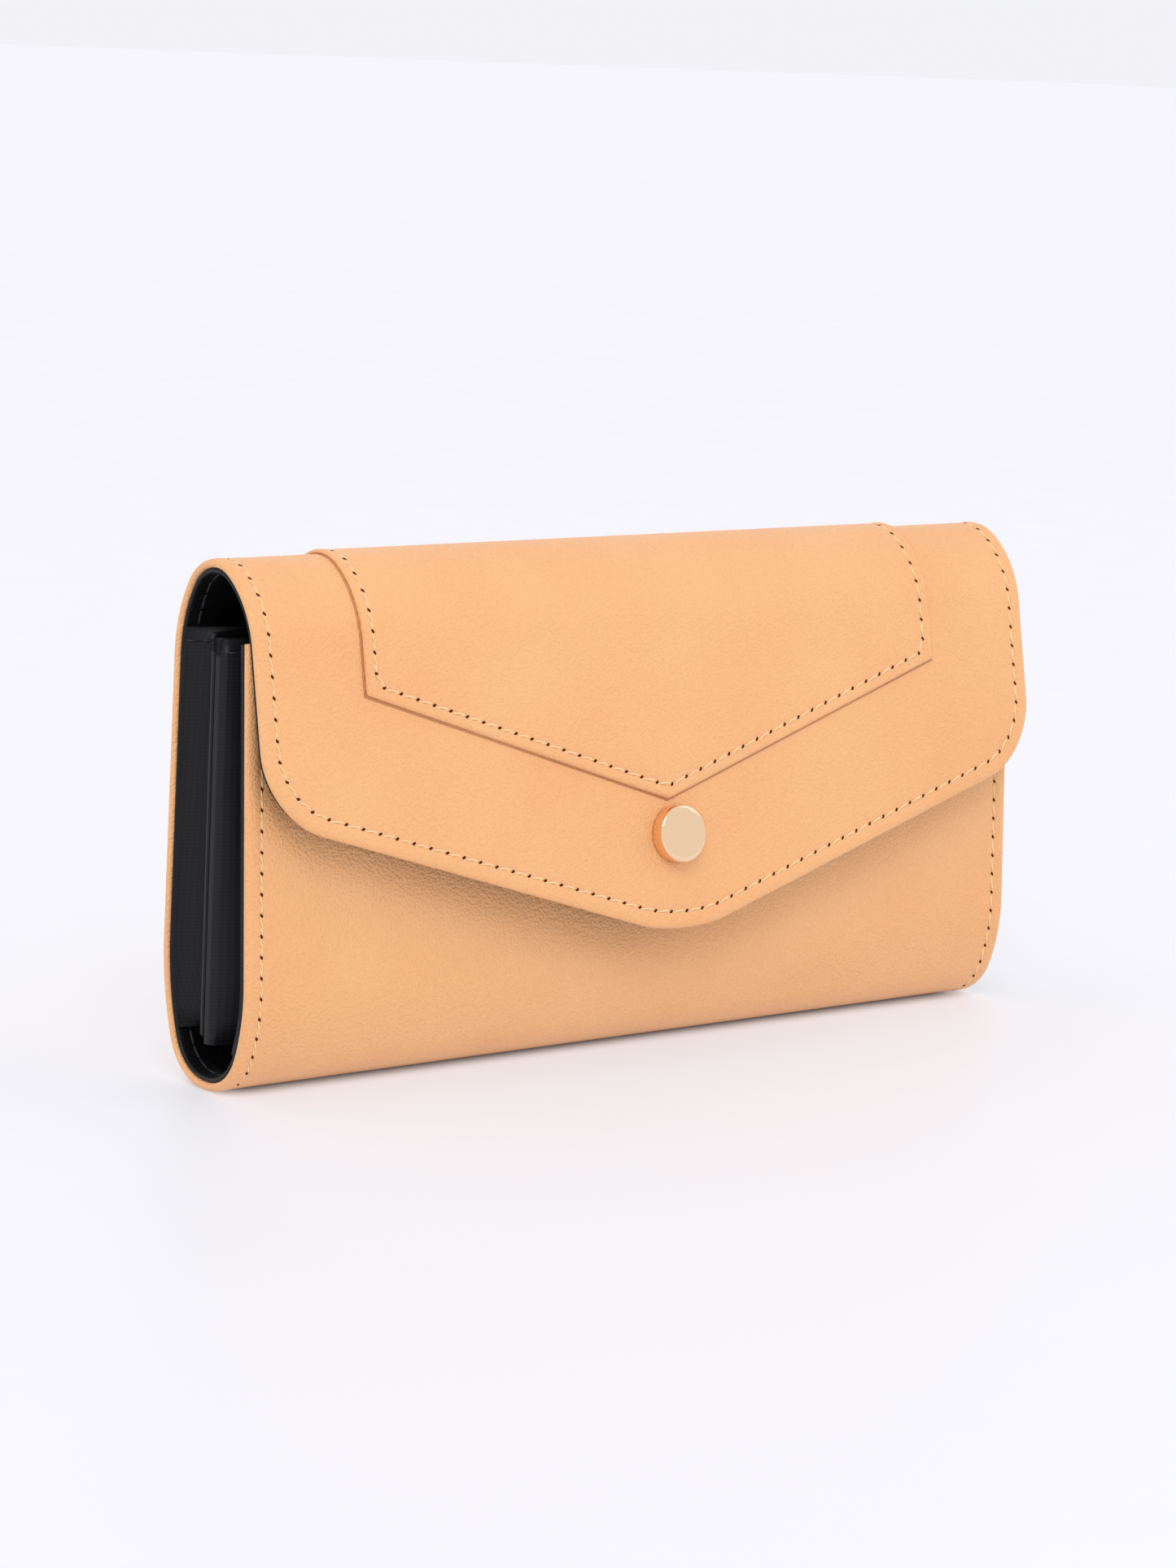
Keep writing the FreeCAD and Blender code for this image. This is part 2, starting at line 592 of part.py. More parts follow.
def slider_pieces():
    """The slider runs over the coils on a post between them; the puller hangs on its loop."""
    start, middle = "Sizes.slider_start", "Sizes.pocket_centre"
    deck = "(Sizes.tape_top + Sizes.coil_height + Sizes.slider_gap)"
    plate = box(
        "slider_deck", "Sizes.slider_length", "Sizes.slider_width", "Sizes.slider_plate",
        start, middle, deck,
    )
    parts = [plate]
    for side, sign in (("rear", 1), ("front", -1)):
        parts.append(box(
            f"slider_{side}_flange", "Sizes.slider_length", "Sizes.slider_plate",
            "Sizes.coil_height + Sizes.slider_gap", start,
            f"{middle} + {sign} * (Sizes.slider_width - Sizes.slider_plate) / 2", "Sizes.tape_top",
        ))
    keel = "(Sizes.tape_top - 2 * Sizes.slider_plate)"
    parts.append(box(
        "slider_post", "Sizes.slider_length / 2", "Sizes.post_width", f"{deck} - {keel}",
        start, middle, keel,
    ))
    parts.append(box(
        "slider_keel", "Sizes.slider_length", "Sizes.keel_width", "Sizes.slider_plate",
        start, middle, keel,
    ))
    loop = box(
        "slider_loop_block", "Sizes.bridge_length", "Sizes.bridge_width", "Sizes.bridge_height",
        start, middle, f"{deck} + Sizes.slider_plate",
    )
    eye = box(
        "slider_loop_eye", "Sizes.bridge_length - 2 * Sizes.loop_leg", "2 * Sizes.bridge_width",
        "Sizes.bridge_height - Sizes.loop_bar", start, middle, f"{deck} + Sizes.slider_plate",
    )
    parts.append(boolean("Part::Cut", "slider_loop", loop, eye))
    slider = fuse("zip_slider", *parts)

    # the puller: a flat tab with a window round the loop's top bar, lying over the coils
    level = f"{deck} + Sizes.slider_plate + Sizes.puller_lift"
    tab = box(
        "puller_tab", "Sizes.puller_reach + Sizes.puller_tail", "Sizes.puller_width",
        "Sizes.puller_thickness", f"{start} + (Sizes.puller_reach - Sizes.puller_tail) / 2",
        middle, level,
    )
    window = box(
        "puller_opening", "Sizes.puller_window", "Sizes.window_width",
        "3 * Sizes.puller_thickness",
        f"{start} - Sizes.puller_tail + Sizes.puller_bar + Sizes.puller_window / 2", middle,
        f"{level} - Sizes.puller_thickness",
    )
    puller = boolean("Part::Cut", "zip_puller", tab, window)
    return [slider, puller]


pieces += pocket_pieces() + slider_pieces()


# ---------------------------------------------------------------- gussets
def wall_face(name, z):
    """Y of a wall's lining face at height z, for the straight stretches and the bends below."""
    spans = ("rear_side", "back", "crown_rear") if name == "back" else ("front", "front_side")
    best = None
    for span in spans:
        run = RUNS[span]
        for i in range(FACE_STEPS + 1):
            y, height = run.point(run.length * i / FACE_STEPS, LINING)
            if best is None or abs(height - z) < abs(best[1] - z):
                best = (y, height)
    return best[0]


def gusset_section(label, side, near, far, z):
    """A folded strip seen from above: from the wall in to the fold and back out to the pocket."""
    edge, fold = size("gusset_edge"), size("gusset_edge") - size("gusset_depth")
    cloth = size("gusset_thickness")
    middle = (near + far) / 2
    inward = 1 if far > near else -1
    outline = [
        (edge, near), (edge, near + inward * cloth), (fold + size("gusset_crease"), middle),
        (edge, far - inward * cloth), (edge, far), (fold, middle),
    ]
    section = doc.addObject("Part::Polygon", label)
    section.Nodes = [FreeCAD.Vector(side * x, y, z) for x, y in outline]
    section.Close = True
    return section


def gusset_pieces():
    made = []
    gap = size("gusset_gap")
    pocket = size("pocket_thickness") / 2 + gap
    for side_name, side in (("left", -1), ("right", 1)):
        for wall in ("rear", "front"):
            sections = []
            for z in (size("gusset_bottom"), size("gusset_top")):
                if wall == "rear":
                    near, far = size("pocket_centre") + pocket, wall_face("back", z) - gap
                else:
                    near, far = size("pocket_centre") - pocket, wall_face("front", z) + gap
                name = f"{side_name}_{wall}_section_{int(z)}"
                sections.append(gusset_section(name, side, near, far, z))
            gusset = doc.addObject("Part::Loft", f"{side_name}_{wall}_gusset")
            gusset.Label = f"{side_name}_{wall}_gusset"
            gusset.Sections = sections
            gusset.Solid, gusset.Ruled = True, True
            made.append(gusset)
    return made


pieces += gusset_pieces()


# ---------------------------------------------------------------- check and write
doc.recompute()
broken = [o.Label for o in doc.Objects if "Invalid" in o.State or "Error" in o.State]
broken += [p.Label for p in pieces if p.Shape.isNull() or not p.Shape.isValid() or not p.Shape.Solids]
if broken:
    raise RuntimeError("these failed: " + ", ".join(broken))

os.makedirs("parts", exist_ok=True)
for piece in pieces:
    piece.Shape.exportStep(f"parts/{piece.Label}.step")

for name in ("crown_rear", "crown_front"):
    y, z = RUNS[name].point(RUNS[name].length, -size("overlay_thickness") - size("fold_gap"))
    print(f"fold line at the end of {name}: y {y:.3f} z {z:.3f}")
y, z = RUNS["toe"].point(0, -size("mouth_gap"))
print(f"mouth hinge: y {y:.3f} z {z:.3f}")
pivot_x = size("slider_start") - size("puller_tail") + size("puller_bar") / 2
pivot_z = size("tape_top") + size("coil_height") + size("slider_gap") + size("slider_plate")
pivot_z += size("puller_lift") + size("puller_thickness") / 2
print(f"puller pivot: x {pivot_x:.3f} z {pivot_z:.3f}")
print(f"{len(pieces)} pieces written")
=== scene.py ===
import math
import random

import bmesh
import bpy
from mathutils import Matrix, Vector


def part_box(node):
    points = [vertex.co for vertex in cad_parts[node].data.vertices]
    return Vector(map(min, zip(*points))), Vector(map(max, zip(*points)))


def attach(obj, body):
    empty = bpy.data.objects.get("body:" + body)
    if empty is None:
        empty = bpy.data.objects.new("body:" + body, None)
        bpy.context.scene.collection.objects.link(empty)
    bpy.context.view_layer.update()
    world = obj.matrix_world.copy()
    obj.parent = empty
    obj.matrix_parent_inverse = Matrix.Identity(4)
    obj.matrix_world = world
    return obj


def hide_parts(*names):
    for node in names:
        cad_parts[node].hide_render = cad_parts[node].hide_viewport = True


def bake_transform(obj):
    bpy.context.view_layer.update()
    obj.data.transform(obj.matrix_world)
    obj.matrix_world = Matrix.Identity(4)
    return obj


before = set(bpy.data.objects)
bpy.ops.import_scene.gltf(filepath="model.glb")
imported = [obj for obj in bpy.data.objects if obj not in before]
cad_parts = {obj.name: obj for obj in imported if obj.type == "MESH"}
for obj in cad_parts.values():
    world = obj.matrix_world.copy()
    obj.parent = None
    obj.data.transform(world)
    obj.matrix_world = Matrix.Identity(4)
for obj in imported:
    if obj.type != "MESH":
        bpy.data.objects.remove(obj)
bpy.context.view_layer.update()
random.seed(11)

# A long wallet: one calf leather shell folded round two walls, a crown and a pointed flap.
# Sheets are cut flat, their edges turned and sewn, and then wrapped round the shell's line.
# A place on a flat sheet is (s, x, h) in millimetres: s along the shell's line from the front's
# top edge, x along the wallet, h out of the skin. Everything else is in metres.
MM = 0.001


# ---------------------------------------------------------------- the shell's line
# Straight runs have a length, bends a radius and the degrees that they turn. The rounded foot is
# drawn unpressed here, up to 0.8 mm inside the flat strip that the frame gives it.
SHELL = [
    ("front", 64.7, 0), ("front_side", 36.6, 25.0), ("toe", 12.0, 68.0), ("foot", 1.22, 0),
    ("heel", 12.0, 70.0), ("rear_side", 55.7, 20.85), ("back", 55.0, 0), ("crown_rear", 27.8, 31.65),
    ("crown_top", 10.5, 89.65), ("crown_front", 20.4, 14.5), ("brow", 20.4, 32.05), ("flap", 63.0, 0),
]
FRONT_HEADING = 267.0
FOOT_START = Vector((-1.99, 0.0))


def lay_out_shell():
    """Each run's arc length at its start, its length, turn, start point and heading."""
    runs, at, point, heading = {}, 0.0, Vector((0.0, 0.0)), math.radians(FRONT_HEADING)
    for name, amount, degrees in SHELL:
        turn = math.radians(degrees)
        length = amount * turn if turn else amount
        runs[name] = (at, length, turn, point, heading)
        point = on_run(runs[name], length, 0)
        at, heading = at + length, heading + turn
    shift = FOOT_START - runs["foot"][3]
    return {name: (r[0], r[1], r[2], r[3] + shift, r[4]) for name, r in runs.items()}


def on_run(run, along, height):
    """The point on a run's skin at this arc length, lifted out of the skin by height."""
    _, length, turn, start, heading = run
    ahead = heading + turn * along / length
    if not turn:
        out = Vector((math.sin(heading), -math.cos(heading)))
        return start + Vector((math.cos(heading), math.sin(heading))) * along + out * height
    radius = length / turn
    centre = start + Vector((-math.sin(heading), math.cos(heading))) * radius
    return centre + Vector((math.sin(ahead), -math.cos(ahead))) * (radius + height)


RUNS = lay_out_shell()


def starts(name):
    return RUNS[name][0]


def ends(name):
    return RUNS[name][0] + RUNS[name][1]


def wrap(s, x, height):
    """Where a place on the flat sheet comes to lie on the finished wallet."""
    run = next((r for r in RUNS.values() if s < r[0] + r[1]), RUNS["flap"])
    y, z = on_run(run, s - run[0], height)
    return Vector((x, y, z)) * MM


HALF = 97.5  # half the wallet's length
FOOT_SPLIT = ends("foot") - 0.6
FLAP_FOLD, BACK_FOLD = ends("crown_front"), ends("crown_rear")
CROWN_SPLIT = (FLAP_FOLD + BACK_FOLD) / 2
FOLD_REACH = 8.0  # the leather bends over this much on each side of a fold
TIP = ends("flap")
SHOULDER = starts("flap") + 32.1
SKEW = -1.2  # the overlay and the snap sit this far off the middle, as sewn by hand

# Where each part of the shell starts and ends, its two bodies, and the stretch where it bends.
ZONES = {
    "front": (-5.0, FOOT_SPLIT, "back", "front", starts("foot"), starts("foot") - 15.0),
    "back": (FOOT_SPLIT, CROWN_SPLIT, "back", "crown", BACK_FOLD - FOLD_REACH, BACK_FOLD + FOLD_REACH),
    "flap": (CROWN_SPLIT, TIP + 5, "crown", "flap", FLAP_FOLD - FOLD_REACH, FLAP_FOLD + FOLD_REACH),
}


# ---------------------------------------------------------------- camera and lamps
CAMERA_TURN = (-38.453, 10.061, 2.653)  # azimuth, elevation and roll in degrees
CAMERA_DISTANCE, CAMERA_LENS = 0.889, 100.36
LOOKED_AT_HEIGHT, LOOKED_AT_LEFT = 0.05193, 0.0042


def set_camera():
    azimuth, elevation, roll = (math.radians(a) for a in CAMERA_TURN)
    right = Vector((math.cos(azimuth), math.sin(azimuth), 0))
    ahead = Vector((
        -math.sin(azimuth) * math.cos(elevation), math.cos(azimuth) * math.cos(elevation),
        -math.sin(elevation),
    ))
    up = right.cross(ahead)
    target = Vector((0, 0, LOOKED_AT_HEIGHT)) - right * LOOKED_AT_LEFT
    tilted_right = right * math.cos(roll) + up * math.sin(roll)
    tilted_up = up * math.cos(roll) - right * math.sin(roll)
    camera = bpy.data.objects.new("camera", bpy.data.cameras.new("camera"))
    camera.data.lens, camera.data.sensor_width = CAMERA_LENS, 36.0
    camera.data.clip_start, camera.data.clip_end = 0.02, 50.0
    turn = Matrix((tilted_right, tilted_up, -ahead)).transposed().to_4x4()
    camera.matrix_world = Matrix.Translation(target - ahead * CAMERA_DISTANCE) @ turn
    bpy.context.collection.objects.link(camera)
    bpy.context.scene.camera = camera


def add_softbox(name, place, power, width):
    light = bpy.data.lights.new(name, "AREA")
    light.energy, light.size = power, width
    lamp = bpy.data.objects.new(name, light)
    lamp.location = place
    lamp.rotation_euler = (Vector((0, 0, 0.05)) - Vector(place)).to_track_quat("-Z", "Y").to_euler()
    bpy.context.collection.objects.link(lamp)


# ---------------------------------------------------------------- material tools
def linear(code):
    """A colour's linear values from its sRGB hex code."""
    parts = [int(code[i:i + 2], 16) / 255 for i in (1, 3, 5)]
    return tuple(p / 12.92 if p <= 0.04045 else ((p + 0.055) / 1.055) ** 2.4 for p in parts) + (1.0,)


def add(tree, kind, settings, links=None):
    """One node with its settings and its links; a key is a property, a socket or its number."""
    made = tree.nodes.new(kind)
    for key, value in settings.items():
        if isinstance(key, str) and hasattr(made, key):
            setattr(made, key, value)
        else:
            made.inputs[key].default_value = value
    for key, source in (links or {}).items():
        tree.links.new(source, made.inputs[key])
    return made


def start_material(name, shader_settings):
    """A material with one Principled shader, and its tree."""
    made = bpy.data.materials.new(name)
    made.use_nodes = True
    tree = made.node_tree
    tree.nodes.clear()
    shader = add(tree, "ShaderNodeBsdfPrincipled", shader_settings)
    add(tree, "ShaderNodeOutputMaterial", {}, {"Surface": shader.outputs["BSDF"]})
    return made, tree, shader


def per_mm(size):
    """A texture scale for coordinates in metres that gives features of this size in mm."""
    return 1000.0 / size


def calf_leather(name, shade, light_shade, dark_shade):
    """Calf leather, drum-dyed and plated: an even warm colour with a soft sheen and a fine pebble
    grain that catches the light, a little paler where the hide is tighter."""
    made, tree, shader = start_material(name, {
        "IOR": 1.5, "Sheen Weight": 0.12, "Sheen Roughness": 0.5, "Coat Weight": 0.06,
        "Coat Roughness": 0.35,
    })
    uv = add(tree, "ShaderNodeTexCoord", {}).outputs["UV"]
    cloud = add(tree, "ShaderNodeTexNoise", {"Scale": per_mm(28), "Detail": 3.0}, {"Vector": uv})
    fleck = add(tree, "ShaderNodeTexNoise", {"Scale": per_mm(1.1), "Detail": 2.0}, {"Vector": uv})
    blend = add(tree, "ShaderNodeMath", {"operation": "MULTIPLY_ADD", 1: 0.35},
                {0: fleck.outputs["Fac"], 2: cloud.outputs["Fac"]})
    ramp = add(tree, "ShaderNodeValToRGB", {}, {"Fac": blend.outputs[0]})
    ramp.color_ramp.elements[0].position, ramp.color_ramp.elements[1].position = 0.38, 1.0
    ramp.color_ramp.elements[0].color = linear(dark_shade)
    ramp.color_ramp.elements[1].color = linear(light_shade)
    middle = ramp.color_ramp.elements.new(0.68)
    middle.color = linear(shade)
    tree.links.new(ramp.outputs["Color"], shader.inputs["Base Color"])
    rough = add(tree, "ShaderNodeMapRange", {"To Min": 0.40, "To Max": 0.54},
                {"Value": fleck.outputs["Fac"]})
    tree.links.new(rough.outputs["Result"], shader.inputs["Roughness"])
    pebble = add(tree, "ShaderNodeTexVoronoi",
                 {"feature": "SMOOTH_F1", "Scale": per_mm(0.52), "Smoothness": 0.6}, {"Vector": uv})
    pore = add(tree, "ShaderNodeTexNoise", {"Scale": per_mm(0.4), "Detail": 3.0}, {"Vector": uv})
    wave = add(tree, "ShaderNodeTexNoise", {"Scale": per_mm(22), "Detail": 1.0}, {"Vector": uv})
    broad = add(tree, "ShaderNodeBump", {"Strength": 0.3, "Distance": 0.0005},
                {"Height": wave.outputs["Fac"]})
    grain = add(tree, "ShaderNodeBump", {"Strength": 0.8, "Distance": 0.00026},
                {"Height": pebble.outputs["Distance"], "Normal": broad.outputs["Normal"]})
    fine = add(tree, "ShaderNodeBump", {"Strength": 0.5, "Distance": 0.0001},
               {"Height": pore.outputs["Fac"], "Normal": grain.outputs["Normal"]})
    tree.links.new(fine.outputs["Normal"], shader.inputs["Normal"])
    return made


def woven_cloth(name, shade, crest_highlight_shade, pitch, roughness, relief, coat=0.0):
    """Woven polyester: crossing threads, their crests painted lighter as a highlight, from dull to
    slightly waxed.
    """
    made, tree, shader = start_material(name, {
        "IOR": 1.5, "Roughness": roughness, "Specular IOR Level": 0.25, "Sheen Weight": 0.03,
        "Sheen Roughness": 0.4, "Coat Weight": coat, "Coat Roughness": 0.25,
    })
    uv = add(tree, "ShaderNodeTexCoord", {}).outputs["UV"]
    waver = add(tree, "ShaderNodeTexNoise", {"Scale": per_mm(9), "Detail": 2.0}, {"Vector": uv})
    bands = [
        add(tree, "ShaderNodeTexWave", {
            "wave_type": "BANDS", "bands_direction": direction, "Scale": per_mm(pitch) / 6.3,
            "Distortion": 0.4, "Detail": 1.0, "Detail Scale": 2.0,
        }, {"Vector": uv})
        for direction in ("X", "Y")
    ]
    weave = add(tree, "ShaderNodeMath", {"operation": "MULTIPLY"},
                {0: bands[0].outputs["Fac"], 1: bands[1].outputs["Fac"]})
    tone = add(tree, "ShaderNodeMath", {"operation": "MULTIPLY_ADD", 1: 0.5},
               {0: waver.outputs["Fac"], 2: weave.outputs[0]})
    # the lighter colour is painted highlight where the threads cross, mixed with a random unevenness of
    # tone
    ramp = add(tree, "ShaderNodeValToRGB", {}, {"Fac": tone.outputs[0]})
    ramp.color_ramp.elements[0].position, ramp.color_ramp.elements[1].position = 0.15, 1.2
    ramp.color_ramp.elements[0].color = linear(shade)
    ramp.color_ramp.elements[1].color = linear(crest_highlight_shade)
    tree.links.new(ramp.outputs["Color"], shader.inputs["Base Color"])
    bump = add(tree, "ShaderNodeBump", {"Strength": 0.6, "Distance": relief * MM},
               {"Height": weave.outputs[0]})
    tree.links.new(bump.outputs["Normal"], shader.inputs["Normal"])
    return made


def sewing_thread(name, shade, dark_shade):
    """Twisted polyester sewing thread: smooth round plies with a slight gloss, and painted shade in the
    grooves between them."""
    made, tree, shader = start_material(name, {
        "IOR": 1.5, "Roughness": 0.5, "Sheen Weight": 0.05, "Sheen Roughness": 0.35,
    })
    uv = add(tree, "ShaderNodeTexCoord", {}).outputs["UV"]
    plies = add(tree, "ShaderNodeTexWave", {
        "wave_type": "BANDS", "bands_direction": "DIAGONAL", "Scale": 1.1, "Distortion": 0.6,
    }, {"Vector": uv})
    ramp = add(tree, "ShaderNodeValToRGB", {}, {"Fac": plies.outputs["Fac"]})
    # dark_shade is painted shade in the grooves between the plies
    ramp.color_ramp.elements[0].color = linear(dark_shade)
    ramp.color_ramp.elements[1].position = 0.45
    ramp.color_ramp.elements[1].color = linear(shade)
    tree.links.new(ramp.outputs["Color"], shader.inputs["Base Color"])
    bump = add(tree, "ShaderNodeBump", {"Strength": 0.5, "Distance": 0.0001},
               {"Height": plies.outputs["Fac"]})
    tree.links.new(bump.outputs["Normal"], shader.inputs["Normal"])
    return made


def plated_metal(name, shade, roughness):
    """Brass, stamped and plated pale gold, then polished: a clean reflection with faint hazy
    patches from handling."""
    made, tree, shader = start_material(name, {"Metallic": 1.0, "Base Color": linear(shade)})
    place = add(tree, "ShaderNodeTexCoord", {}).outputs["Object"]
    haze = add(tree, "ShaderNodeTexNoise", {"Scale": per_mm(3), "Detail": 4.0}, {"Vector": place})
    rough = add(tree, "ShaderNodeMapRange", {"To Min": roughness * 0.7, "To Max": roughness * 1.4},
                {"Value": haze.outputs["Fac"]})
    tree.links.new(rough.outputs["Result"], shader.inputs["Roughness"])
    marks = add(tree, "ShaderNodeTexNoise", {"Scale": per_mm(0.5), "Detail": 2.0}, {"Vector": place})
    bump = add(tree, "ShaderNodeBump", {"Strength": 0.04, "Distance": 0.00005},
               {"Height": marks.outputs["Fac"]})
    tree.links.new(bump.outputs["Normal"], shader.inputs["Normal"])
    return made


def plain_finish(name, shade, other_shade, grain_size, roughness, relief, gloss=0.5):
    """A dull solid with a mottled surface, for board, needle holes and moulded nylon."""
    made, tree, shader = start_material(name, {
        "IOR": 1.5, "Roughness": roughness, "Specular IOR Level": gloss,
    })
    place = add(tree, "ShaderNodeTexCoord", {}).outputs["Object"]
    mottle = add(tree, "ShaderNodeTexNoise", {"Scale": per_mm(grain_size), "Detail": 3.0},
                 {"Vector": place})
    ramp = add(tree, "ShaderNodeValToRGB", {}, {"Fac": mottle.outputs["Fac"]})
    ramp.color_ramp.elements[0].position, ramp.color_ramp.elements[1].position = 0.35, 0.65
    ramp.color_ramp.elements[0].color = linear(shade)
    ramp.color_ramp.elements[1].color = linear(other_shade)
    tree.links.new(ramp.outputs["Color"], shader.inputs["Base Color"])
    bump = add(tree, "ShaderNodeBump", {"Strength": 0.5, "Distance": relief * MM},
               {"Height": mottle.outputs["Fac"]})
    tree.links.new(bump.outputs["Normal"], shader.inputs["Normal"])
    return made


# the field, the overlay a touch lighter, and a darker line beside the overlay's edge: painted shadow of
# the raised edge
SHELL_LEATHER = calf_leather("plated_calf_leather", "#F4B478", "#F7B97D", "#F1AE72")
OVERLAY_LEATHER = calf_leather("plated_calf_overlay", "#F5B579", "#F8BA7E", "#F2AF73")
OVERLAY_EDGE_SHADOW_LEATHER = calf_leather("painted_shadow_calf_line", "#CB8B56", "#D3955F", "#BF804C")
# black cloths, told apart by how tight and how shiny their weave is; each second colour is painted
# highlight on the thread crests
LINING_CLOTH = woven_cloth("lining_taffeta", "#060608", "#131316", 0.4, 0.42, 0.03, 0.05)
GUSSET_CLOTH = woven_cloth("gusset_twill", "#0A0A0C", "#17171B", 0.35, 0.42, 0.02, 0.03)
POCKET_CLOTH = woven_cloth("pocket_nylon", "#0A0A0C", "#1B1B1F", 0.45, 0.6, 0.06)
CARD_CLOTH = woven_cloth("card_slot_coated_cloth", "#0B0B0D", "#18181B", 0.6, 0.5, 0.05, 0.1)
TAPE_CLOTH = woven_cloth("zip_tape_weave", "#121215", "#303036", 0.7, 0.7, 0.1)
# each thread's second colour is the painted shade between its plies
CREAM_THREAD = sewing_thread("waxed_cream_thread", "#FBD9A6", "#DDA265")
BLACK_THREAD = sewing_thread("black_thread", "#2B2B30", "#08080A")
GREY_THREAD = sewing_thread("grey_bobbin_thread", "#1E1E20", "#0C0C0E")
CAP_METAL = plated_metal("gold_plated_cap", "#F7D5B0", 0.10)
SNAP_METAL = plated_metal("brass_snap", "#E3C08A", 0.2)
ZIP_METAL = plated_metal("gold_plated_zip", "#E8C794", 0.18)
# needle holes: dark beads where the needle went through, the leather's darker cut core with painted
# shade of the hole, and no gloss
NEEDLE_HOLE = plain_finish("needle_hole", "#4A1F06", "#5E2C0E", 0.2, 1.0, 0.02, 0.0)
BOARD = plain_finish("pressed_board", "#8E8A80", "#A39F94", 0.8, 0.9, 0.05)
NYLON = plain_finish("nylon_coil", "#0E0E11", "#1A1A1F", 0.4, 0.38, 0.01)


# ---------------------------------------------------------------- making tools
def finish_mesh(name, bm, material, smooth=True):
    """A mesh object at the origin from a finished bmesh."""
    mesh = bpy.data.meshes.new(name)
    for face in bm.faces:
        face.smooth = smooth
    bm.to_mesh(mesh)
    bm.free()
    mesh.materials.append(material)
    made = bpy.data.objects.new(name, mesh)
    bpy.context.collection.objects.link(made)
    return made


def rigid(name, bm, material, slot, body, *replaced):
    """A piece that moves with one body and stands in for these frame nodes."""
    piece = finish_mesh(name, bm, material)
    if replaced:
        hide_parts(*replaced)
    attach(piece, body)


def cut_piece(corners, base, outside, inside, seam_at=None):
    """A sheet cut flat with its edge worked, from (s, x, rounding reach) corners.

    base is the height of its widest outline; outside and inside are (in from the edge, away from
    base) steps over its two faces. Returns it with the line of its seam, where one is asked for."""
    bm = bmesh.new()
    points = [bm.verts.new((s, x, base)) for s, x, _ in corners]
    bm.faces.new(points)
    for point, (_, _, reach) in zip(points, corners):
        if reach:
            bmesh.ops.bevel(bm, geom=[point], offset=reach, offset_type="OFFSET", segments=14,
                            profile=0.5, affect="VERTICES", material=-1)
    bm.normal_update()
    bm.faces.ensure_lookup_table()
    top = bm.faces[0]
    if top.normal.z < 0:
        top.normal_flip()
    copied = bmesh.ops.duplicate(bm, geom=[top])["geom"]
    under = next(g for g in copied if isinstance(g, bmesh.types.BMFace))
    bmesh.ops.reverse_faces(bm, faces=[under])
    bm.normal_update()
    seam = []
    for face, steps in ((top, outside), (under, inside)):
        before = (0.0, 0.0)
        for inward, away in steps:
            bmesh.ops.inset_region(bm, faces=[face], thickness=inward - before[0],
                                   depth=away - before[1], use_even_offset=True, use_boundary=True)
            before = (inward, away)
            if face is top and seam_at is not None and abs(inward - seam_at) < 1e-6:
                seam = [v.co.copy() for v in face.verts]
    bmesh.ops.remove_doubles(bm, verts=bm.verts[:], dist=1e-4)
    return bm, seam


def slice_rows(bm, first, last, step):
    """Cuts the sheet across at even rows, so that it can bend there."""
    rows = max(1, round((last - first) / step))
    for i in range(rows + 1):
        geom = bm.verts[:] + bm.edges[:] + bm.faces[:]
        bmesh.ops.bisect_plane(bm, geom=geom, dist=1e-5, plane_no=(1, 0, 0),
                               plane_co=(first + (last - first) * i / rows, 0, 0))


def rows_for_bending(bm, low, high):
    """Close rows in the bends and near the folds, wide ones on the flats."""
    spacing = {
        "front": 8.0, "front_side": 1.4, "toe": 0.6, "foot": 1.5, "heel": 0.8, "rear_side": 1.6,
        "back": 8.0, "crown_rear": 0.8, "crown_top": 0.5, "crown_front": 0.6, "brow": 0.8, "flap": 8.0,
    }
    for name, step in spacing.items():
        first, last = max(starts(name), low), min(ends(name), high)
        if last > first:
            slice_rows(bm, first, last, step)


def lay_grid_marks(bm):
    """Flat places in metres as the UV map, so that grain and weave follow the sheet."""
    layer = bm.loops.layers.uv.verify()
    for face in bm.faces:
        for loop in face.loops:
            s, x, h = loop.vert.co
            loop[layer].uv = ((s + h) * MM, (x + h) * MM)


def between(bm, low, high):
    """A copy of the flat sheet between two arc lengths, with its cut ends closed."""
    part = bm.copy()
    for place, clear in ((low, "clear_inner"), (high, "clear_outer")):
        geom = part.verts[:] + part.edges[:] + part.faces[:]
        bmesh.ops.bisect_plane(part, geom=geom, dist=1e-5, plane_co=(place, 0, 0),
                               plane_no=(1, 0, 0), **{clear: True})
    rim = [e for e in part.edges if e.is_boundary]
    if rim:
        bmesh.ops.holes_fill(part, edges=rim, sides=0)
        for edge in rim:
            edge.smooth = False
    return part


def wrap_all(bm):
    for vert in bm.verts:
        vert.co = wrap(*vert.co)
    bm.normal_update()


def bend_with(piece):
    """Bakes the piece's placement into its mesh."""
    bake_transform(piece)


def shell_parts(name, bm, material, replaced, zones=("front", "back", "flap")):
    """The flat sheet, wrapped round the shell's line, as one piece for each zone of the shell."""
    low, high = min(v.co.x for v in bm.verts), max(v.co.x for v in bm.verts)
    rows_for_bending(bm, low, high)
    lay_grid_marks(bm)
    for zone in zones:
        part = between(bm, max(low - 1, ZONES[zone][0]), min(high + 1, ZONES[zone][1]))
        wrap_all(part)
        piece = finish_mesh(f"{zone}_{name}", part, material)
        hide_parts(*replaced[zone])
        bend_with(piece)
    bm.free()


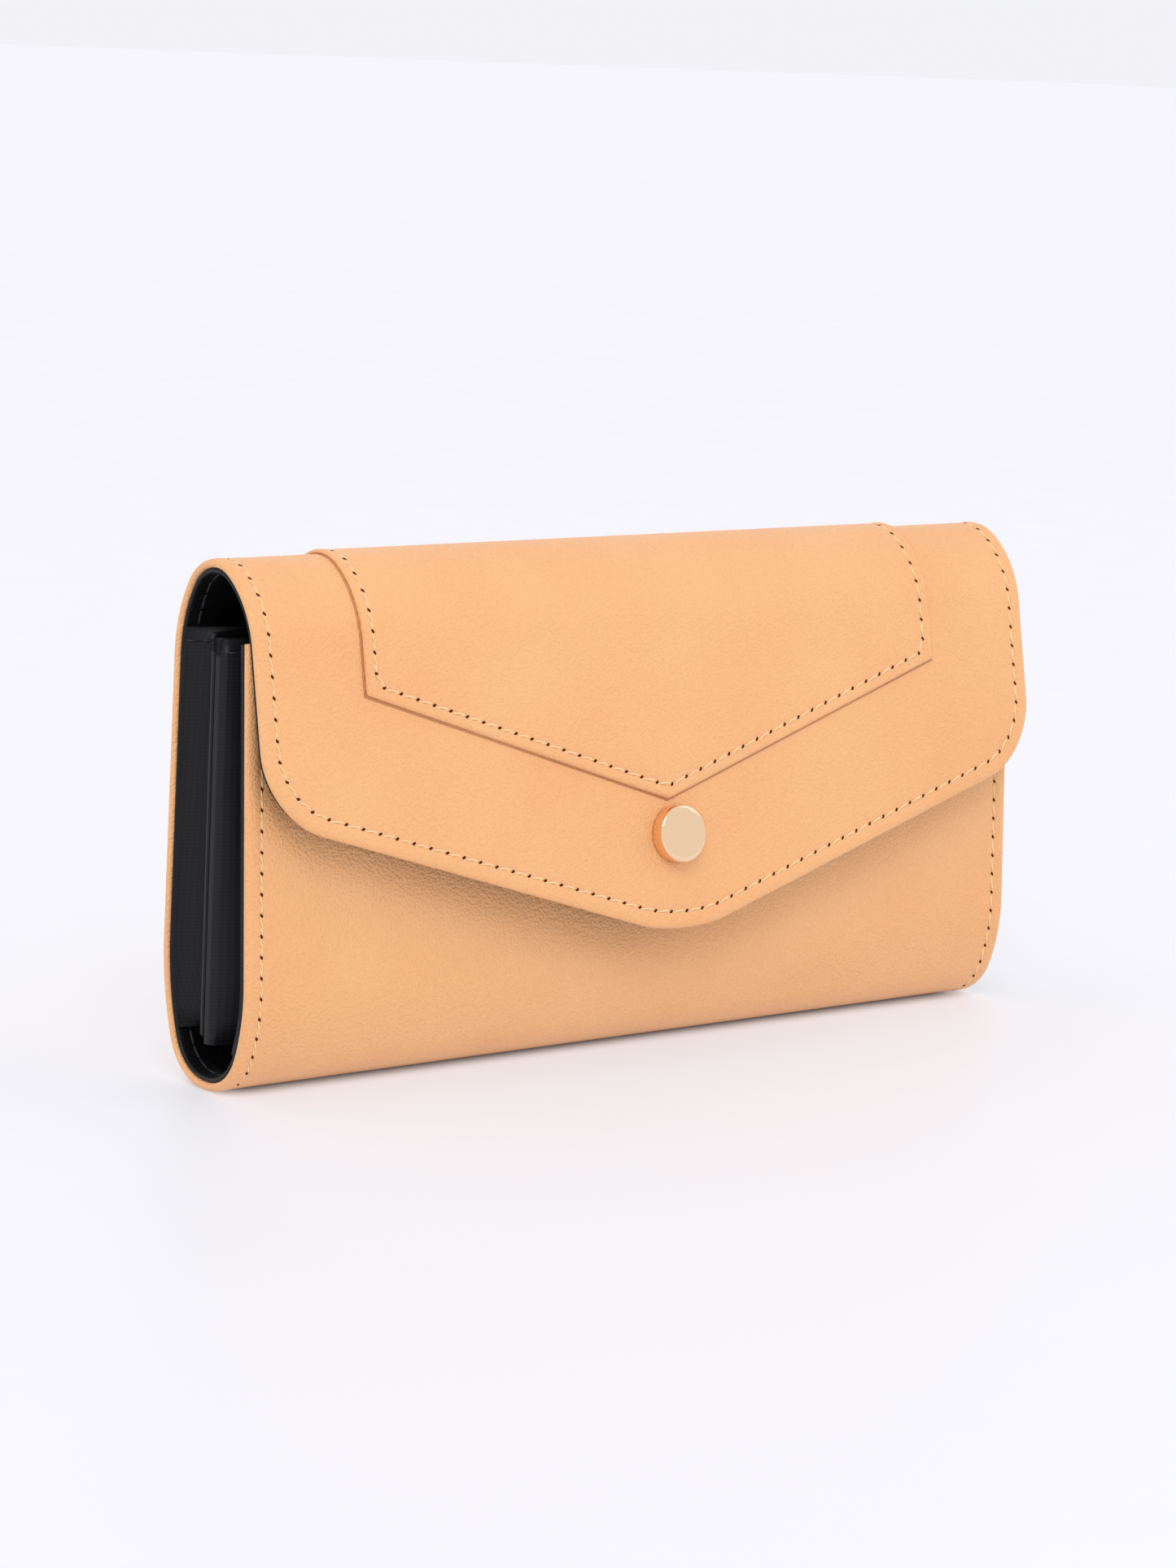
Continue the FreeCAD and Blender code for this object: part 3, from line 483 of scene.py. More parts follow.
def bead(length, width, height, rings, sides):
    """A small smooth bead that lies along +X, as a mesh to be repeated."""
    bm = bmesh.new()
    bm.loops.layers.uv.verify()
    bmesh.ops.create_uvsphere(bm, u_segments=sides, v_segments=rings, radius=0.5, calc_uvs=True,
                              matrix=Matrix.Rotation(math.pi / 2, 4, "Y"))
    bmesh.ops.scale(bm, vec=(length, width, height), verts=bm.verts[:])
    for face in bm.faces:
        face.smooth = True
    mesh = bpy.data.meshes.new("bead")
    bm.to_mesh(mesh)
    bm.free()
    return mesh


def repeated(template, places):
    """One bmesh with the template at each place."""
    bm = bmesh.new()
    for place in places:
        first = len(bm.verts)
        bm.from_mesh(template)
        bm.verts.ensure_lookup_table()
        bmesh.ops.transform(bm, matrix=place, verts=bm.verts[first:])
    return bm


def walk(line, pitch, closed):
    """Points along a line at an even pitch near the one asked for, with their directions."""
    points = line + [line[0]] if closed else line
    spans = [(b - a).length for a, b in zip(points, points[1:])]
    count = max(1, round(sum(spans) / pitch))
    step, found, i, passed = sum(spans) / count, [], 0, 0.0
    for k in range(count + (0 if closed else 1)):
        while i < len(spans) - 1 and passed + spans[i] < k * step - 1e-9:
            passed += spans[i]
            i += 1
        ahead = (points[i + 1] - points[i]).normalized()
        found.append((points[i] + ahead * (k * step - passed), ahead))
    return found


STITCH_PITCH = 4.0
HEM_PITCH = 3.0
THREAD = bead(3.9, 0.56, 0.46, 6, 8)
HOLE = bead(0.95, 0.62, 0.30, 6, 8)
SLANT = math.radians(5)
HOLE_SLANT = math.radians(38)
HOLE_LIFT = 0.07


def sew(line, pitch, closed, inside=None):
    """Stitches and needle holes along a flat line, each as a list of (s, place) pairs.

    Every stitch runs from one hole to the next, leaning the same way; inside gives the height at
    which the same stitches show on the lining."""
    holes = walk(line, pitch, closed)
    pairs = list(zip(holes, holes[1:] + holes[:1])) if closed else list(zip(holes, holes[1:]))
    threads, dots, bobbins = [], [], []
    for (here, _), (there, _) in pairs:
        ahead = (there - here).normalized()
        across = Vector((-ahead.y, ahead.x, 0))
        turn = Matrix((ahead, across, Vector((0, 0, 1)))).transposed().to_4x4()
        middle = (here + there) / 2
        reach = Matrix.Diagonal(((there - here).length / STITCH_PITCH, 1, 1, 1))
        lean = Matrix.Rotation(SLANT + random.uniform(-0.03, 0.03), 4, "Z")
        lift = Vector((0, 0, random.uniform(0.03, 0.07)))
        threads.append((middle.x, Matrix.Translation(middle + lift) @ turn @ lean @ reach))
        spin = Matrix.Rotation(HOLE_SLANT + random.uniform(-0.15, 0.15), 4, "Z")
        dots.append((here.x, Matrix.Translation(here + Vector((0, 0, HOLE_LIFT))) @ turn @ spin))
        if inside is not None:
            low = Vector((middle.x, middle.y, inside))
            bobbins.append((middle.x, Matrix.Translation(low) @ turn @ reach))
    return threads, dots, bobbins


def seam_parts(name, template, places, material, zones=("front", "back", "flap")):
    """A seam's stitches or holes, wrapped round the shell's line, as one piece for each zone of the
    shell.
    """
    for zone in zones:
        low, high = ZONES[zone][0], ZONES[zone][1]
        here = [place for s, place in places if low <= s < high]
        if not here:
            continue
        bm = repeated(template, here)
        wrap_all(bm)
        piece = finish_mesh(f"{zone}_{name}", bm, material)
        bend_with(piece)


def turned(profile, place, steps=48):
    """A part turned about +Z from (radius, height) points in mm, then put in its place."""
    bm = bmesh.new()
    line = [bm.verts.new((radius * MM, 0, height * MM)) for radius, height in profile]
    edges = [bm.edges.new(pair) for pair in zip(line, line[1:])]
    bmesh.ops.spin(bm, geom=line + edges, cent=(0, 0, 0), axis=(0, 0, 1), angle=2 * math.pi,
                   steps=steps, use_merge=True)
    bmesh.ops.remove_doubles(bm, verts=bm.verts[:], dist=1e-7)
    bmesh.ops.recalc_face_normals(bm, faces=bm.faces[:])
    bmesh.ops.transform(bm, matrix=place, verts=bm.verts[:])
    return bm


def standing_on(s):
    """The snap's place and directions at this arc length: +Z out of the skin, +X along the wallet."""
    here = wrap(s, SKEW, 0)
    out = (wrap(s, SKEW, 1) - here).normalized()
    side = Vector((1, 0, 0))
    turn = Matrix((side, out.cross(side), out)).transposed().to_4x4()
    return Matrix.Translation(here) @ turn


def block(low, high, rounding, segments=3):
    """A block between two corners in metres with rounded edges."""
    bm = bmesh.new()
    bmesh.ops.create_cube(bm, size=1.0)
    low, high = Vector(low), Vector(high)
    bmesh.ops.scale(bm, vec=high - low, verts=bm.verts[:])
    bmesh.ops.translate(bm, vec=(low + high) / 2, verts=bm.verts[:])
    bmesh.ops.bevel(bm, geom=bm.edges[:], offset=rounding, offset_type="OFFSET", segments=segments,
                    profile=0.5, affect="EDGES", material=-1)
    return bm


def joined(parts):
    """One bmesh from several."""
    whole = bmesh.new()
    for part in parts:
        mesh = bpy.data.meshes.new("part")
        part.to_mesh(mesh)
        part.free()
        whole.from_mesh(mesh)
        bpy.data.meshes.remove(mesh)
    return whole


# ---------------------------------------------------------------- leather shell
LEATHER = 1.6
SHELL_THICK = 2.1  # leather and lining together, away from the turned edges
SEAM_IN = 3.4
EDGE_SEAM_HEIGHT, BOBBIN_HEIGHT = -0.18, -2.72
FLAP_CORNER_RADIUS, FLAP_TIP_RADIUS = 17.3, 36.6
RIGHT_CORNER_DROP, RIGHT_CORNER_OUT = 1.2, 0.6  # the flap's right corner hangs a little lower
# Over the turned edge: round the rim, a soft welt, the groove that the seam pulls in, the field.
WELT = [(0.10, 0.34), (0.30, 0.58), (0.62, 0.76), (1.1, 0.88), (1.8, 0.95), (2.5, 0.90), (3.0, 0.76),
        (SEAM_IN, 0.62), (3.8, 0.72), (4.5, 0.80), (6.0, 0.82), (9.0, 0.80)]
TURNED_UNDER = [(0.12, 0.38), (0.34, 0.62), (0.8, 0.8)]


def shell_corners(inset, front_edge):
    """The shell's flat outline: square along the front's top, a rounded chevron at the tip."""
    slope = math.atan2(TIP - SHOULDER, HALF)
    side = HALF - inset
    tip = TIP - inset / math.cos(slope)
    corner = tip - side * math.tan(slope)
    half_corner = (math.pi / 2 + slope) / 2
    corner_reach = (FLAP_CORNER_RADIUS - inset) / math.tan(half_corner)
    tip_reach = (FLAP_TIP_RADIUS - inset) / math.tan(math.pi / 2 - slope)
    return [
        (front_edge, -side, 0), (corner, -side, corner_reach), (tip, 0, tip_reach),
        (corner + RIGHT_CORNER_DROP, side + RIGHT_CORNER_OUT, corner_reach), (front_edge, side, 0),
    ]


def make_shell():
    sheet, seam = cut_piece(shell_corners(0, 0), -LEATHER / 2, WELT, TURNED_UNDER, SEAM_IN)
    shell_parts("leather", sheet, SHELL_LEATHER, {
        "front": ("front_leather", "bottom_leather"), "back": ("back_leather",),
        "flap": ("crown_leather", "flap_leather"),
    })
    for point in seam:
        point.z = EDGE_SEAM_HEIGHT
    threads, dots, bobbins = sew(seam, STITCH_PITCH, True, inside=BOBBIN_HEIGHT)
    seam_parts("edge_seam", THREAD, threads, CREAM_THREAD)
    seam_parts("edge_seam_holes", HOLE, dots, NEEDLE_HOLE)
    seam_parts("edge_seam_bobbin", THREAD, bobbins, GREY_THREAD)


def make_lining():
    """The lining stops just inside the leather's rim, where it is turned in double."""
    rim_in, front_in, base = 0.45, 0.9, -2.12
    outside = [(0.12, 0.25), (0.35, 0.47)]
    inside = [(0.10, 0.26), (0.30, 0.44), (0.7, 0.5), (5.0, 0.5), (5.5, 0.2), (6.2, 0.02)]
    sheet, _ = cut_piece(shell_corners(rim_in, front_in), base, outside, inside)
    shell_parts("lining", sheet, LINING_CLOTH, {
        "front": ("front_lining", "bottom_lining"), "back": ("back_lining",),
        "flap": ("crown_lining", "flap_lining"),
    })


def make_overlay():
    """The chevron panel, sewn 2.4 mm inside its turned edge."""
    half, reach, shoulder, right_drop = 72.2, 35.0, 10.1, 0.9
    base, seam_height, down_the_back, shadow_line_out = 0.36, 0.58, 16.0, 0.4
    low = ends("back") - down_the_back
    tip, corner = starts("flap") + reach, starts("flap") + shoulder
    corners = [
        (low, SKEW - half, 0), (corner, SKEW - half, 0), (tip, 2 * SKEW, 0),
        (corner + right_drop, SKEW + half, 0), (low, SKEW + half, 0),
    ]
    seam_in = 2.4
    outside = [(0.05, 0.16), (0.16, 0.34), (0.40, 0.52), (0.8, 0.62), (1.4, 0.58), (2.0, 0.36),
               (seam_in, 0.22), (2.8, 0.32), (3.5, 0.42), (5.0, 0.46), (8.0, 0.44)]
    under = [(0.1, 0.16), (0.35, 0.26), (0.9, 0.34)]
    sheet, seam = cut_piece(corners, base, outside, under, seam_in)
    shell_parts("overlay", sheet, OVERLAY_LEATHER, {
        "back": ("back_overlay",), "flap": ("crown_overlay", "flap_overlay"),
    }, ("back", "flap"))
    # a thin darker sheet just outside the panel's edge: painted shadow that the raised edge casts on
    # the flap
    shadow_line = [
        (s + (shadow_line_out if s > low else -shadow_line_out),
         x + (s != tip) * math.copysign(shadow_line_out, x), 0)
        for s, x, _ in corners
    ]
    over_shadow_line, under_shadow_line = [(0.15, 0.02), (0.5, 0.06), (0.9, 0.3)], [(0.2, 0.1), (0.9, 0.14)]
    rim, _ = cut_piece(shadow_line, 0.04, over_shadow_line, under_shadow_line)
    shell_parts("overlay_painted_shadow_line", rim, OVERLAY_EDGE_SHADOW_LEATHER, {
        "back": (), "flap": (),
    }, ("back", "flap"))
    for point in seam:
        point.z = seam_height
    threads, dots, _ = sew(seam, STITCH_PITCH, True)
    seam_parts("overlay_seam", THREAD, threads, CREAM_THREAD, ("back", "flap"))
    seam_parts("overlay_seam_holes", HOLE, dots, NEEDLE_HOLE, ("back", "flap"))


# ---------------------------------------------------------------- snap
SNAP_REACH = 42.1
STUD_HEIGHT = 44.881  # of the stud's middle over the floor


def make_snap():
    """The cap and the socket sit on one post through the flap, and the stud on the front."""
    cap_place = standing_on(starts("flap") + SNAP_REACH)
    cap = turned([
        (0, 3.34), (2.5, 3.335), (4.4, 3.31), (5.2, 3.27), (5.42, 3.22), (5.6, 3.1), (5.71, 2.94),
        (5.75, 2.75), (5.75, 0.5), (5.68, 0.28), (5.5, 0.16), (5.2, 0.14), (5.2, -0.25), (0, -0.25),
    ], cap_place, 96)
    rigid("snap_cap_button", cap, CAP_METAL, "snap_metal", "flap", "snap_cap")

    under = -SHELL_THICK
    socket = turned([
        (0, under), (5.0, under), (5.18, under - 0.12), (5.2, under - 0.4), (5.05, under - 0.58),
        (4.6, under - 0.64), (4.42, under - 0.85), (4.3, under - 1.3), (4.26, under - 3.6),
        (4.1, under - 4.0), (3.8, under - 4.18), (3.4, under - 4.2), (3.05, under - 4.08),
        (2.92, under - 3.8), (2.9, under - 2.0), (0, under - 1.95),
    ], cap_place)
    rigid("snap_socket_cup", socket, SNAP_METAL, "snap_metal", "flap", "snap_socket")

    stud_at = (RUNS["front"][3].y - STUD_HEIGHT) / math.cos(math.radians(270 - FRONT_HEADING))
    stud_place = standing_on(stud_at)
    stud = turned([
        (0, 4.2), (0.9, 4.16), (1.35, 4.0), (1.62, 3.7), (1.68, 3.35), (1.55, 3.0), (1.4, 2.7),
        (1.4, 1.2), (1.7, 0.9), (2.4, 0.76), (3.9, 0.7), (4.25, 0.6), (4.4, 0.35), (4.38, 0.05),
        (4.2, -0.02), (0, -0.02),
    ], stud_place)
    rigid("snap_stud_post", stud, SNAP_METAL, "snap_metal", "front", "snap_stud")


# ---------------------------------------------------------------- gussets
HEM = 3.4
GUSSET_EDGE, GUSSET_FOLD = 96.9, 86.0  # how far along the wallet the strip starts and folds
DIVIDER_FACE, DIVIDER_EDGE, DIVIDER_WRAP = 2.35, 96.2, 96.8
WALL_CLEAR, DIVIDER_CLEAR = 0.35, 0.4


def wall_y(wall, z):
    """Y in mm of a wall's lining at height z in mm."""
    names = ("rear_side", "back", "crown_rear") if wall == "back" else ("front", "front_side")
    places = [on_run(RUNS[n], RUNS[n][1] * i / 60, -2.7) for n in names for i in range(61)]
    return min(places, key=lambda p: abs(p.y - z)).x


def gusset_line(wall, side, z):
    """One folded strip seen from above at height z: the wall, the fold, round the divider's edge."""
    reach, divider = wall_y(wall, z), DIVIDER_FACE if wall == "back" else -DIVIDER_FACE
    reach += -WALL_CLEAR if wall == "back" else WALL_CLEAR
    return [
        Vector((side * x * MM, y * MM, z * MM)) for x, y in (
            (GUSSET_EDGE, reach), (GUSSET_FOLD, (reach + divider - DIVIDER_CLEAR) / 2),
            (DIVIDER_EDGE, divider - DIVIDER_CLEAR), (DIVIDER_WRAP, divider * 0.15 - DIVIDER_CLEAR),
        )
    ]


def folded_strip(wall, side, bottom, top, rows, thickness):
    """The strip drawn up from its bottom line row by row, its fold rounded, then thickened."""
    bm = bmesh.new()
    line = [bm.verts.new(p) for p in gusset_line(wall, side, bottom)]
    edges = [bm.edges.new(pair) for pair in zip(line, line[1:])]
    away = 1 if wall == "front" else -1
    for i in range(1, rows + 1):
        z = bottom + (top - bottom) * i / rows
        drawn = bmesh.ops.extrude_edge_only(bm, edges=edges)["geom"]
        raised = [g for g in drawn if isinstance(g, bmesh.types.BMVert)]
        edges = [g for g in drawn if isinstance(g, bmesh.types.BMEdge)]
        raised.sort(key=lambda v: away * v.co.y)
        for vert, place in zip(raised, gusset_line(wall, side, z)):
            vert.co = place
    upright = [
        e for e in bm.edges
        if len(e.link_faces) == 2 and abs((e.verts[0].co - e.verts[1].co).normalized().z) > 0.7
    ]
    bmesh.ops.bevel(bm, geom=upright, offset=0.8 * MM, offset_type="OFFSET", segments=4, profile=0.5,
                    affect="EDGES", material=-1)
    bmesh.ops.recalc_face_normals(bm, faces=bm.faces[:])
    bmesh.ops.solidify(bm, geom=bm.faces[:], thickness=thickness * MM)
    bmesh.ops.recalc_face_normals(bm, faces=bm.faces[:])
    return bm


def mark_upright(bm):
    """Height and length as the UV map for cloth that stands."""
    layer = bm.loops.layers.uv.verify()
    for face in bm.faces:
        for loop in face.loops:
            x, y, z = loop.vert.co
            loop[layer].uv = (z, x + y)


def make_gussets():
    """Two strips a side, each hemmed along its top and sewn 3 mm below it."""
    stitch = bead(2.2, 0.42, 0.34, 6, 6)
    for name, side, wall, bottom, top in (
        ("left_rear", -1, "back", 10.2, 88.0), ("left_front", -1, "front", 8.8, 87.4),
        ("right_rear", 1, "back", 10.2, 88.0), ("right_front", 1, "front", 8.8, 87.4),
    ):
        strip = folded_strip(wall, side, bottom, top - 0.2, 18, 0.6)
        hem = folded_strip(wall, side, top - HEM, top, 3, 1.0)
        rim = [e for e in hem.edges if all(v.co.z > (top - 0.05) * MM for v in e.verts)
               and e.calc_face_angle(0) > 1.0]
        bmesh.ops.bevel(hem, geom=rim, offset=0.3 * MM, offset_type="OFFSET", segments=2,
                        profile=0.5, affect="EDGES", material=-1)
        whole = joined([strip, hem])
        mark_upright(whole)
        gusset = finish_mesh(f"{name}_gusset_cloth", whole, GUSSET_CLOTH)
        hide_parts(f"{name}_gusset")
        places = []
        line = [p / MM for p in gusset_line(wall, side, top - HEM + 0.8)]
        for panel in (line[:2], line[1:3]):
            holes = walk(panel, HEM_PITCH, False)
            for (here, ahead), (there, _) in zip(holes, holes[1:]):
                out = ahead.cross(Vector((0, 0, 1)))
                turn = Matrix((ahead, Vector((0, 0, 1)), out)).transposed().to_4x4()
                for lift in (-0.47, 0.47):
                    middle = (here + there) / 2 + out * lift
                    places.append(Matrix.Scale(MM, 4) @ Matrix.Translation(middle) @ turn)
        seam = finish_mesh(f"{name}_gusset_hem_seam", repeated(stitch, places), BLACK_THREAD)
        for piece in (gusset, seam):
            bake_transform(piece)


# ---------------------------------------------------------------- card slots
def make_card_slots():
    """On each wall a backing and four stepped tiers, sewn down the middle into two columns."""
    fine = bead(2.6, 0.38, 0.3, 6, 6)
    half_width, seam_half, foot_clear, seam_in = 88, 86.4, 1.5, 1.6
    for wall in ("back", "front"):
        rise = RUNS[wall][1]
        depth = SHELL_THICK
        names = [f"{wall}_card_backing"] + [f"{wall}_card_tier_{i}" for i in range(1, 5)]
        drops = [3.0] + [7.0 + 11.0 * i for i in range(4)]
        for i, (name, drop) in enumerate(zip(names, drops)):
            thick = 0.4 if i == 0 else 0.45
            low, high = starts(wall) + drop, starts(wall) + rise - foot_clear
            if wall == "back":
                low, high = starts(wall) + foot_clear, starts(wall) + rise - drop
            corners = [(low, -half_width, 0), (high, -half_width, 0), (high, half_width, 0),
                       (low, half_width, 0)]
            half = thick / 2
            # the mouth's hem is a little fuller than the tier, and its seam pulls it in
            inside = [(0.08, half * 0.7), (0.25, half), (1.1, half + 0.05), (1.6, half - 0.06),
                      (2.1, half + 0.02), (3.2, half)]
            sheet, _ = cut_piece(corners, -depth - half, [(0.1, half)], inside)
            slice_rows(sheet, low, high, 6.0)
            lay_grid_marks(sheet)
            wrap_all(sheet)
            rigid(f"{name}_cloth", sheet, CARD_CLOTH, "card_cloth", wall, name)
            mouth = low if wall == "front" else high
            inward = seam_in if wall == "front" else -seam_in
            top = -depth - thick - 0.02
            lines = [[Vector((mouth + inward, x, top)) for x in (-seam_half, seam_half)]]
            if i:
                step = (low + 2, high - 2) if i == 4 else (mouth, mouth + inward * 7)
                lines += [[Vector((s, x, top)) for s in step] for x in (-seam_half, 0, seam_half)]
            places = []
            for line in lines:
                holes = walk(line, HEM_PITCH, False)
                for (here, ahead), (there, _) in zip(holes, holes[1:]):
                    turn = Matrix.Rotation(math.atan2(ahead.y, ahead.x), 4, "Z")
                    places.append(Matrix.Translation((here + there) / 2) @ turn)
            bm = repeated(fine, places)
            wrap_all(bm)
            rigid(f"{name}_seam", bm, GREY_THREAD, "card_cloth", wall)
            depth += thick


# ---------------------------------------------------------------- zipped coin pocket
def make_pocket():
    """Two hemmed walls round a folded lining, with the zip's tapes rising between them."""
    for side, sign in (("rear", 1), ("front", -1)):
        for node, material, slot in (
            (f"coin_{side}_wall", POCKET_CLOTH, "pocket_cloth"),
            (f"zip_{side}_tape", TAPE_CLOTH, "zip_tape"),
        ):
            low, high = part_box(node)
            half = (high.y - low.y) / 2 / MM
            corners = [(a / MM, b / MM, 0) for a, b in (
                (low.z, low.x), (high.z, low.x), (high.z, high.x), (low.z, high.x))]
            worked = [(0.1, half * 0.7), (0.3, half), (1.6, half + 0.06), (2.1, half - 0.05),
                      (2.8, half)]
            sheet, _ = cut_piece(corners, 0, worked, worked)
            slice_rows(sheet, low.z / MM, high.z / MM, 6.0)
            lay_grid_marks(sheet)
            # stand the flat sheet up: its s becomes height, its h faces out of the pocket
            up = Matrix(((0, 1, 0), (0, 0, sign), (1, 0, 0))).to_4x4()
            centre = Matrix.Translation((0, (low.y + high.y) / 2, 0))
            bmesh.ops.transform(sheet, matrix=centre @ Matrix.Scale(MM, 4) @ up, verts=sheet.verts[:])
            bmesh.ops.recalc_face_normals(sheet, faces=sheet.faces[:])
            rigid(f"{node}_cloth", sheet, material, slot, "coin_pocket", node)

    low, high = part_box("coin_lining")
    clear = 0.15 * MM
    bm = bmesh.new()
    line = [bm.verts.new((low.x, y, z)) for y, z in (
        (low.y + clear, high.z), (low.y + clear, low.z + clear),
        (high.y - clear, low.z + clear), (high.y - clear, high.z))]
    edges = [bm.edges.new(pair) for pair in zip(line, line[1:])]
    drawn = bmesh.ops.extrude_edge_only(bm, edges=edges)["geom"]
    bmesh.ops.translate(bm, vec=(high.x - low.x, 0, 0),
                        verts=[g for g in drawn if isinstance(g, bmesh.types.BMVert)])
    folds = [e for e in bm.edges if len(e.link_faces) == 2]
    bmesh.ops.bevel(bm, geom=folds, offset=0.7 * MM, offset_type="OFFSET", segments=4, profile=0.5,
                    affect="EDGES", material=-1)
    bmesh.ops.recalc_face_normals(bm, faces=bm.faces[:])
    bmesh.ops.solidify(bm, geom=bm.faces[:], thickness=0.25 * MM)
    mark_upright(bm)
    rigid("coin_lining_bag", bm, LINING_CLOTH, "pocket_cloth", "coin_pocket", "coin_lining")


def make_zip():
    """Nylon coils with every loop, metal stops, a slider and its puller."""
    pitch = 1.4
    for side, sign in (("rear", 1), ("front", -1)):
        node = f"zip_{side}_coil"
        low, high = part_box(node)
        width, height = (high.y - low.y) / MM, (high.z - low.z) / MM
        loop = bead(0.95, width * 1.02, height * 0.96, 6, 8)
        centre = (low + high) / 2
        count = int((high.x - low.x) / MM / pitch)
        places = []
        for i in range(count):
            x = centre.x + (i - (count - 1) / 2 + sign * 0.25) * pitch * MM
            places.append(Matrix.Translation((x, centre.y, centre.z)) @ Matrix.Scale(MM, 4))
        rigid(f"{node}_loops", repeated(loop, places), NYLON, "zip_coil", "coin_pocket", node)

    low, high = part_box("zip_end_stops")
    stops = []
    for a, b in ((low.x, low.x + 3 * MM), (high.x - 3 * MM, high.x)):
        stops.append(block((a, low.y, low.z), (b, high.y, high.z), 0.55 * MM, 4))
    rigid("zip_end_stop_staples", joined(stops), ZIP_METAL, "zip_metal", "coin_pocket", "zip_end_stops")

    low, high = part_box("zip_slider")
    centre_x, centre_y = (low.x + high.x) / 2, (low.y + high.y) / 2
    deck_low, deck_high, rail_low, rail_high = 81.6 * MM, 82.6 * MM, 79.6 * MM, 82.0 * MM
    wedge_low, plate_high = 77.6 * MM, 78.6 * MM
    parts = [block((low.x, low.y, deck_low), (high.x, high.y, deck_high), 0.38 * MM, 4)]
    for sign in (-1, 1):
        outer, inner = centre_y + sign * (high.y - low.y) / 2, centre_y + sign * 2.4 * MM
        parts.append(block((low.x + 0.6 * MM, min(outer, inner), rail_low),
                           (high.x - 0.6 * MM, max(outer, inner), rail_high), 0.3 * MM))
    parts.append(block((centre_x - 2.25 * MM, centre_y - 0.25 * MM, wedge_low),
                       (centre_x + 2.25 * MM, centre_y + 0.25 * MM, rail_high), 0.08 * MM, 2))
    parts.append(block((low.x, centre_y - 0.7 * MM, low.z),
                       (high.x, centre_y + 0.7 * MM, plate_high), 0.2 * MM))
    # the loop on the deck: a small square bar drawn round half a turn and set down on its legs
    bar = bmesh.new()
    bmesh.ops.create_grid(bar, x_segments=1, y_segments=1, size=0.5,
                          matrix=Matrix.Diagonal((0.9 * MM, 1.3 * MM, 1, 1)))
    bmesh.ops.bevel(bar, geom=bar.verts[:], offset=0.2 * MM, offset_type="OFFSET", segments=3,
                    profile=0.5, affect="VERTICES", material=-1)
    bmesh.ops.translate(bar, vec=(-2.52 * MM, 0, 0), verts=bar.verts[:])
    bmesh.ops.spin(bar, geom=bar.faces[:] + bar.edges[:] + bar.verts[:], cent=(0, 0, 0),
                   axis=(0, 1, 0), angle=math.pi, steps=16)
    bmesh.ops.scale(bar, vec=(1, 1, 0.86), verts=bar.verts[:])
    bmesh.ops.recalc_face_normals(bar, faces=bar.faces[:])
    bmesh.ops.translate(bar, vec=(centre_x, centre_y, deck_high), verts=bar.verts[:])
    parts.append(bar)
    rigid("zip_slider_body", joined(parts), ZIP_METAL, "zip_metal", "slider", "zip_slider")

    low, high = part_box("zip_puller")
    bm = bmesh.new()
    corners = [bm.verts.new((x, y, low.z)) for x, y in (
        (low.x, low.y), (high.x, low.y), (high.x, high.y), (low.x, high.y))]
    bm.faces.new(corners)
    window_end = low.x + 6.4 * MM
    bmesh.ops.bisect_plane(bm, geom=bm.verts[:] + bm.edges[:] + bm.faces[:], dist=1e-7,
                           plane_co=(window_end, 0, 0), plane_no=(1, 0, 0))
    bmesh.ops.bevel(bm, geom=[v for v in bm.verts if v.co.x > high.x - 1e-6], offset=1.9 * MM,
                    offset_type="OFFSET", segments=8, profile=0.5, affect="VERTICES", material=-1)
    head = min(bm.faces, key=lambda f: f.calc_center_median().x)
    bmesh.ops.inset_region(bm, faces=[head], thickness=1.0 * MM, use_even_offset=True,
                           use_boundary=True)
    bmesh.ops.delete(bm, geom=[head], context="FACES")
    drawn = bmesh.ops.extrude_face_region(bm, geom=bm.faces[:])["geom"]
    bmesh.ops.translate(bm, vec=(0, 0, high.z - low.z),
                        verts=[g for g in drawn if isinstance(g, bmesh.types.BMVert)])
    bmesh.ops.recalc_face_normals(bm, faces=bm.faces[:])
    sharp = [e for e in bm.edges if e.calc_face_angle(0) > 0.9]
    bmesh.ops.bevel(bm, geom=sharp, offset=0.16 * MM, offset_type="OFFSET", segments=3, profile=0.5,
                    affect="EDGES", material=-1)
    rigid("zip_puller_tab", bm, ZIP_METAL, "zip_metal", "puller", "zip_puller")


# ---------------------------------------------------------------- carried-over pieces
def finish_frame_parts():
    """The hidden boards, the ring spring and the stud's rivet keep their frame shapes."""
    finishes = {
        "back_board": BOARD, "front_board": BOARD, "flap_board": BOARD,
        "snap_spring": SNAP_METAL, "snap_rivet": SNAP_METAL,
    }
    for name, material in finishes.items():
        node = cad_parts[name]
        if not node.material_slots:
            node.data.materials.append(material)
        for slot in node.material_slots:
            slot.material = material


# ---------------------------------------------------------------- studio
# the painted contact shadow under the wallet: its strip's half length, the distances over which the
# glow returns, and the glow's strength
SHADOW_STRIP_HALF, GLOW_FROM, GLOW_FULL, GLOW = 0.088, 0.002, 0.012, 0.485


